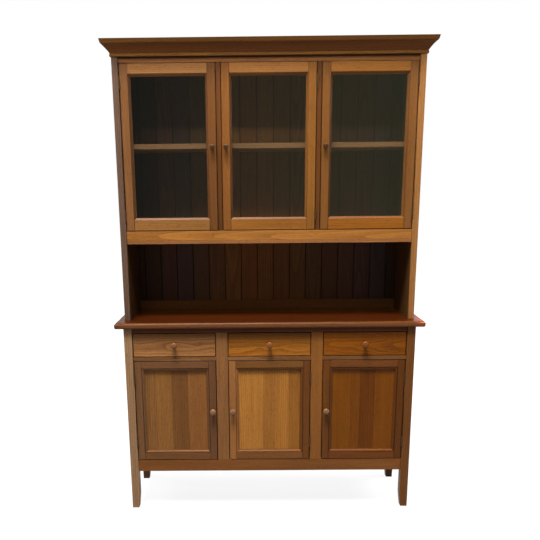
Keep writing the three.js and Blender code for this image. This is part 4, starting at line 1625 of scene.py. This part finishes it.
@dataclass
class Cornice:
    """The cornice: bead, cove and fillet, carried round the front and both sides, mitred at the corners."""

    projection: float = 39 * MM
    seat: float = 16 * MM
    fillet: float = 16 * MM
    batter: float = 4 * MM
    step: float = 1.5 * MM
    bead: float = 5 * MM
    bead_height: float = 12 * MM
    bead_ease: float = 1.5 * MM
    cove_hollow: float = 2 * MM
    cove_steps: int = 12
    bead_painted_sheen: Triple = (0.9, 1.2, 1.9)  # painted sheen: the bead is greyer than the cove, and so is the fillet, as if catching a whitish light
    fillet_painted_sheen: Triple = (0.86, 1.12, 1.7)
    tone_edges: Pair = (1 * MM, 0.5 * MM)  # how far below the bead's top and the fillet's foot they change
    stock: float = 60 * MM  # how thick the timber is that it is cut from
    vary: float = 0.03
    seat_gap: float = 0.2 * MM
    case_half: float = 650 * MM
    case_front: float = -110.5 * MM

    def section(self) -> list[Pair]:
        """Gives the section as projection from the case and height.

        Returns:
            Its points.
        """
        low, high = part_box("cornice")
        foot, top = low[2], high[2]
        case_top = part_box("upper_top")[1][2] + self.seat_gap
        bead_top = foot + self.bead_height
        fillet_foot = top - self.fillet
        reach = self.projection - self.batter
        start = Vector((self.bead - self.bead_ease, bead_top))
        end = Vector((reach - self.step, fillet_foot - self.step))
        chord = end - start
        across = Vector((chord.y, -chord.x)).normalized()
        cove = []
        for share in (i / self.cove_steps for i in range(self.cove_steps + 1)):
            bow = -4 * self.cove_hollow * share * (1 - share)
            cove.append(tuple(start + chord * share + across * bow))
        return [
            (self.seat_gap, foot),
            (self.bead - self.bead_ease, foot),
            (self.bead, foot + self.bead_ease),
            (self.bead, bead_top - self.bead_ease),
            *cove,
            (reach, fillet_foot),
            (self.projection, top),
            (-self.seat, top),
            (-self.seat, case_top),
            (self.seat_gap, case_top),
        ]

    def tone(self, place: Vector) -> Place:
        """Gives the colour of the bead and the fillet, a painted whitish sheen, as a share of the cove's.

        Args:
            place: A point of the cornice.

        Returns:
            What red, green and blue are multiplied by.
        """
        low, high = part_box("cornice")
        if place.z < low[2] + self.bead_height - self.tone_edges[0]:
            return self.bead_painted_sheen
        return self.fillet_painted_sheen if place.z > high[2] - self.fillet - self.tone_edges[1] else PLAIN

    def build(self) -> None:
        """Builds the cornice from one front length and two returns."""
        section = self.section()
        low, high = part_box("cornice")
        width, depth = RIGHT * 2 * self.case_half, DEEP * (high[1] - self.case_front)
        left, right = (Vector((side * self.case_half, self.case_front, 0)) for side in (-1, 1))
        work = Joinery("moulded_cornice", MOULDED)
        for start, along, inward, mitres, grain in (
            (left, width, -DEEP, (-1.0, 1.0), Axis.WIDTH),
            (left, depth, -RIGHT, (-1.0, 0.0), Axis.DEPTH),
            (right, depth, RIGHT, (-1.0, 0.0), Axis.DEPTH),
        ):
            # The bead's faces, points 1 to 4, take the finish's edge factor, a painted highlight.
            run = Run(section, start, along, inward, UP, mitres, (4, 4 + self.cove_steps), (1, 4))
            size = Vector([self.stock + abs(length) for length in along])
            middle = start + along / 2 + UP * (low[2] + high[2]) / 2
            stick = work.stick(middle - size / 2, middle + size / 2, grain, vary=self.vary)
            work.add(run.shell(), stick, self.tone)
        work.place("case", "cornice")


@dataclass(frozen=True)
class Lamp:
    """A soft lamp that the camera doesn't see."""

    name: str
    place: Triple
    target: Triple
    power: float  # in watts
    size: Pair

    def hang(self) -> None:
        """Hangs the lamp and aims it."""
        data = bpy.data.lights.new(self.name, "AREA")
        data.shape, data.energy = "RECTANGLE", self.power
        data.size, data.size_y = self.size
        lamp = bpy.data.objects.new(self.name, data)
        aim = (Vector(self.target) - Vector(self.place)).to_track_quat("-Z", "Y")
        lamp.matrix_world = Matrix.Translation(self.place) @ aim.to_matrix().to_4x4()
        lamp.visible_camera = False
        bpy.context.scene.collection.objects.link(lamp)


@dataclass
class Studio:
    """The room: the camera at the photograph's place, soft lamps, and a white floor and backdrop."""

    eye: Triple = (-0.0889, -2.7347, 1.4536)
    yaw: float = -0.0072
    pitch: float = 0.2153
    roll: float = 0.0097
    lens: float = 39.70
    sensor: float = 36.0
    clip: Pair = (0.05, 100.0)
    shift: Pair = (0.0460, 0.1002)
    lamps: tuple[Lamp, ...] = (
        Lamp("key_lamp", (-0.9, -2.7, 9.3), (0.0, -0.1, 1.0), 1570.0, (3.6, 2.2)),
        Lamp("strip_lamp", (-0.25, -0.625, 2.33), (-0.25, -0.625, 1.33), 13.5, (2.4, 0.1)),
        Lamp("fill_lamp", (-1.0, -3.6, 5.2), (0.0, 0.0, 1.0), 40.0, (2.5, 2.5)),
        Lamp("back_lamp", (0.0, 3.2, 2.8), (0.0, 0.2, 1.0), 90.0, (2.5, 1.5)),
        Lamp("left_lamp", (-2.2, 0.25, 2.0), (-0.65, 0.1, 1.0), 40.0, (1.0, 1.0)),
        Lamp("right_lamp", (2.2, 0.25, 2.0), (0.65, 0.1, 1.0), 80.0, (1.0, 1.0)),
    )
    room: float = 0.15  # how bright it is where it only lights
    mirrored_room: tuple[str, str] = ("7B8077", "C0C09A")  # what the panes show of it, from left to right
    turn: Pair = (-0.15, 0.25)  # the sideways directions between which its left colour turns to the right one
    wall: Pair = (-0.1, 0.4)  # the directions to the rear between which it turns white
    glare: Pair = (-0.2, 0.15)  # the sideways ones between which that white comes up in the panes
    least_glare: float = 0.15
    floor_radius: float = 30.0
    floor_sides: int = 96

    def build(self) -> None:
        """Sets up the camera, lamps, world and floor."""
        self.camera()
        for lamp in self.lamps:
            lamp.hang()
        self.world()
        self.floor()
        bpy.context.scene.view_settings.view_transform = "Standard"

    def camera(self) -> None:
        """Creates the camera and makes it the scene's."""
        cos, sin = math.cos, math.sin
        level = cos(self.pitch)
        ahead = Vector((sin(self.yaw) * level, cos(self.yaw) * level, -sin(self.pitch)))
        right = Vector((cos(self.yaw), -sin(self.yaw), 0))
        down = ahead.cross(right)
        turned = right * cos(self.roll) + down * sin(self.roll)
        down = down * cos(self.roll) - right * sin(self.roll)
        data = bpy.data.cameras.new("photo_camera")
        data.lens, data.sensor_width = self.lens, self.sensor
        data.shift_x, data.shift_y = self.shift
        data.dof.use_dof = False
        data.clip_start, data.clip_end = self.clip
        camera = bpy.data.objects.new("photo_camera", data)
        axes = Matrix((turned, -down, -ahead)).transposed()
        camera.matrix_world = Matrix.Translation(self.eye) @ axes.to_4x4()
        bpy.context.scene.collection.objects.link(camera)
        bpy.context.scene.camera = camera

    def world(self) -> None:
        """Makes the room: white as the camera sees it, dim where it lights, and dim on the camera's side."""
        world = bpy.data.worlds.new("studio_room")
        bpy.context.scene.world = world
        world.use_nodes = True
        tree = world.node_tree
        tree.nodes.clear()
        path = add_node(tree, "ShaderNodeLightPath", {}).outputs
        place = add_node(tree, "ShaderNodeTexCoord", {}).outputs["Generated"]
        way = add_node(tree, "ShaderNodeSeparateXYZ", {0: place}).outputs
        left, right = (linear(code) for code in self.mirrored_room)
        room = mixed(tree, mapped(tree, way["X"], (0.0, 1.0), self.turn), left, right)
        dim = mixed(tree, path["Is Glossy Ray"], (self.room, self.room, self.room, 1), room)
        wall = mapped(tree, way["Y"], (0.0, 1.0), self.wall)
        glare = mapped(tree, way["X"], (self.least_glare, 1.0), self.glare)
        mirrored = combined(tree, "MULTIPLY", combined(tree, "MULTIPLY", path["Is Glossy Ray"], wall), glare)
        seen = any_ray(tree, path, ("Camera", "Transmission"), mirrored)
        inputs = {"Color": mixed(tree, seen, dim, (1, 1, 1, 1)), "Strength": 1.0}
        glow = add_node(tree, "ShaderNodeBackground", inputs).outputs[0]
        add_node(tree, "ShaderNodeOutputWorld", {"Surface": glow})

    def floor(self) -> None:
        """Lays the pale floor, which keeps the cupboard's shadow."""
        shell = bmesh.new()
        bmesh.ops.create_circle(shell, cap_ends=True, segments=self.floor_sides, radius=self.floor_radius)
        floor = linked("studio_floor", shell)
        floor.data.materials.append(FLOOR_PAINT.material())


def main() -> None:
    """Builds the whole cupboard and its studio."""
    logging.basicConfig(level=logging.INFO, format="%(message)s")
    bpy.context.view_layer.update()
    knobs, hinges = Knobs(), Hinges()
    Studio().build()
    BaseCabinet().build(hinges)
    Drawers().build(knobs)
    PanelledDoors().build(knobs)
    UpperCabinet().build(hinges)
    GlazedDoors().build(knobs)
    Cornice().build()
    hinges.build()


if __name__ == "__main__":
    main()
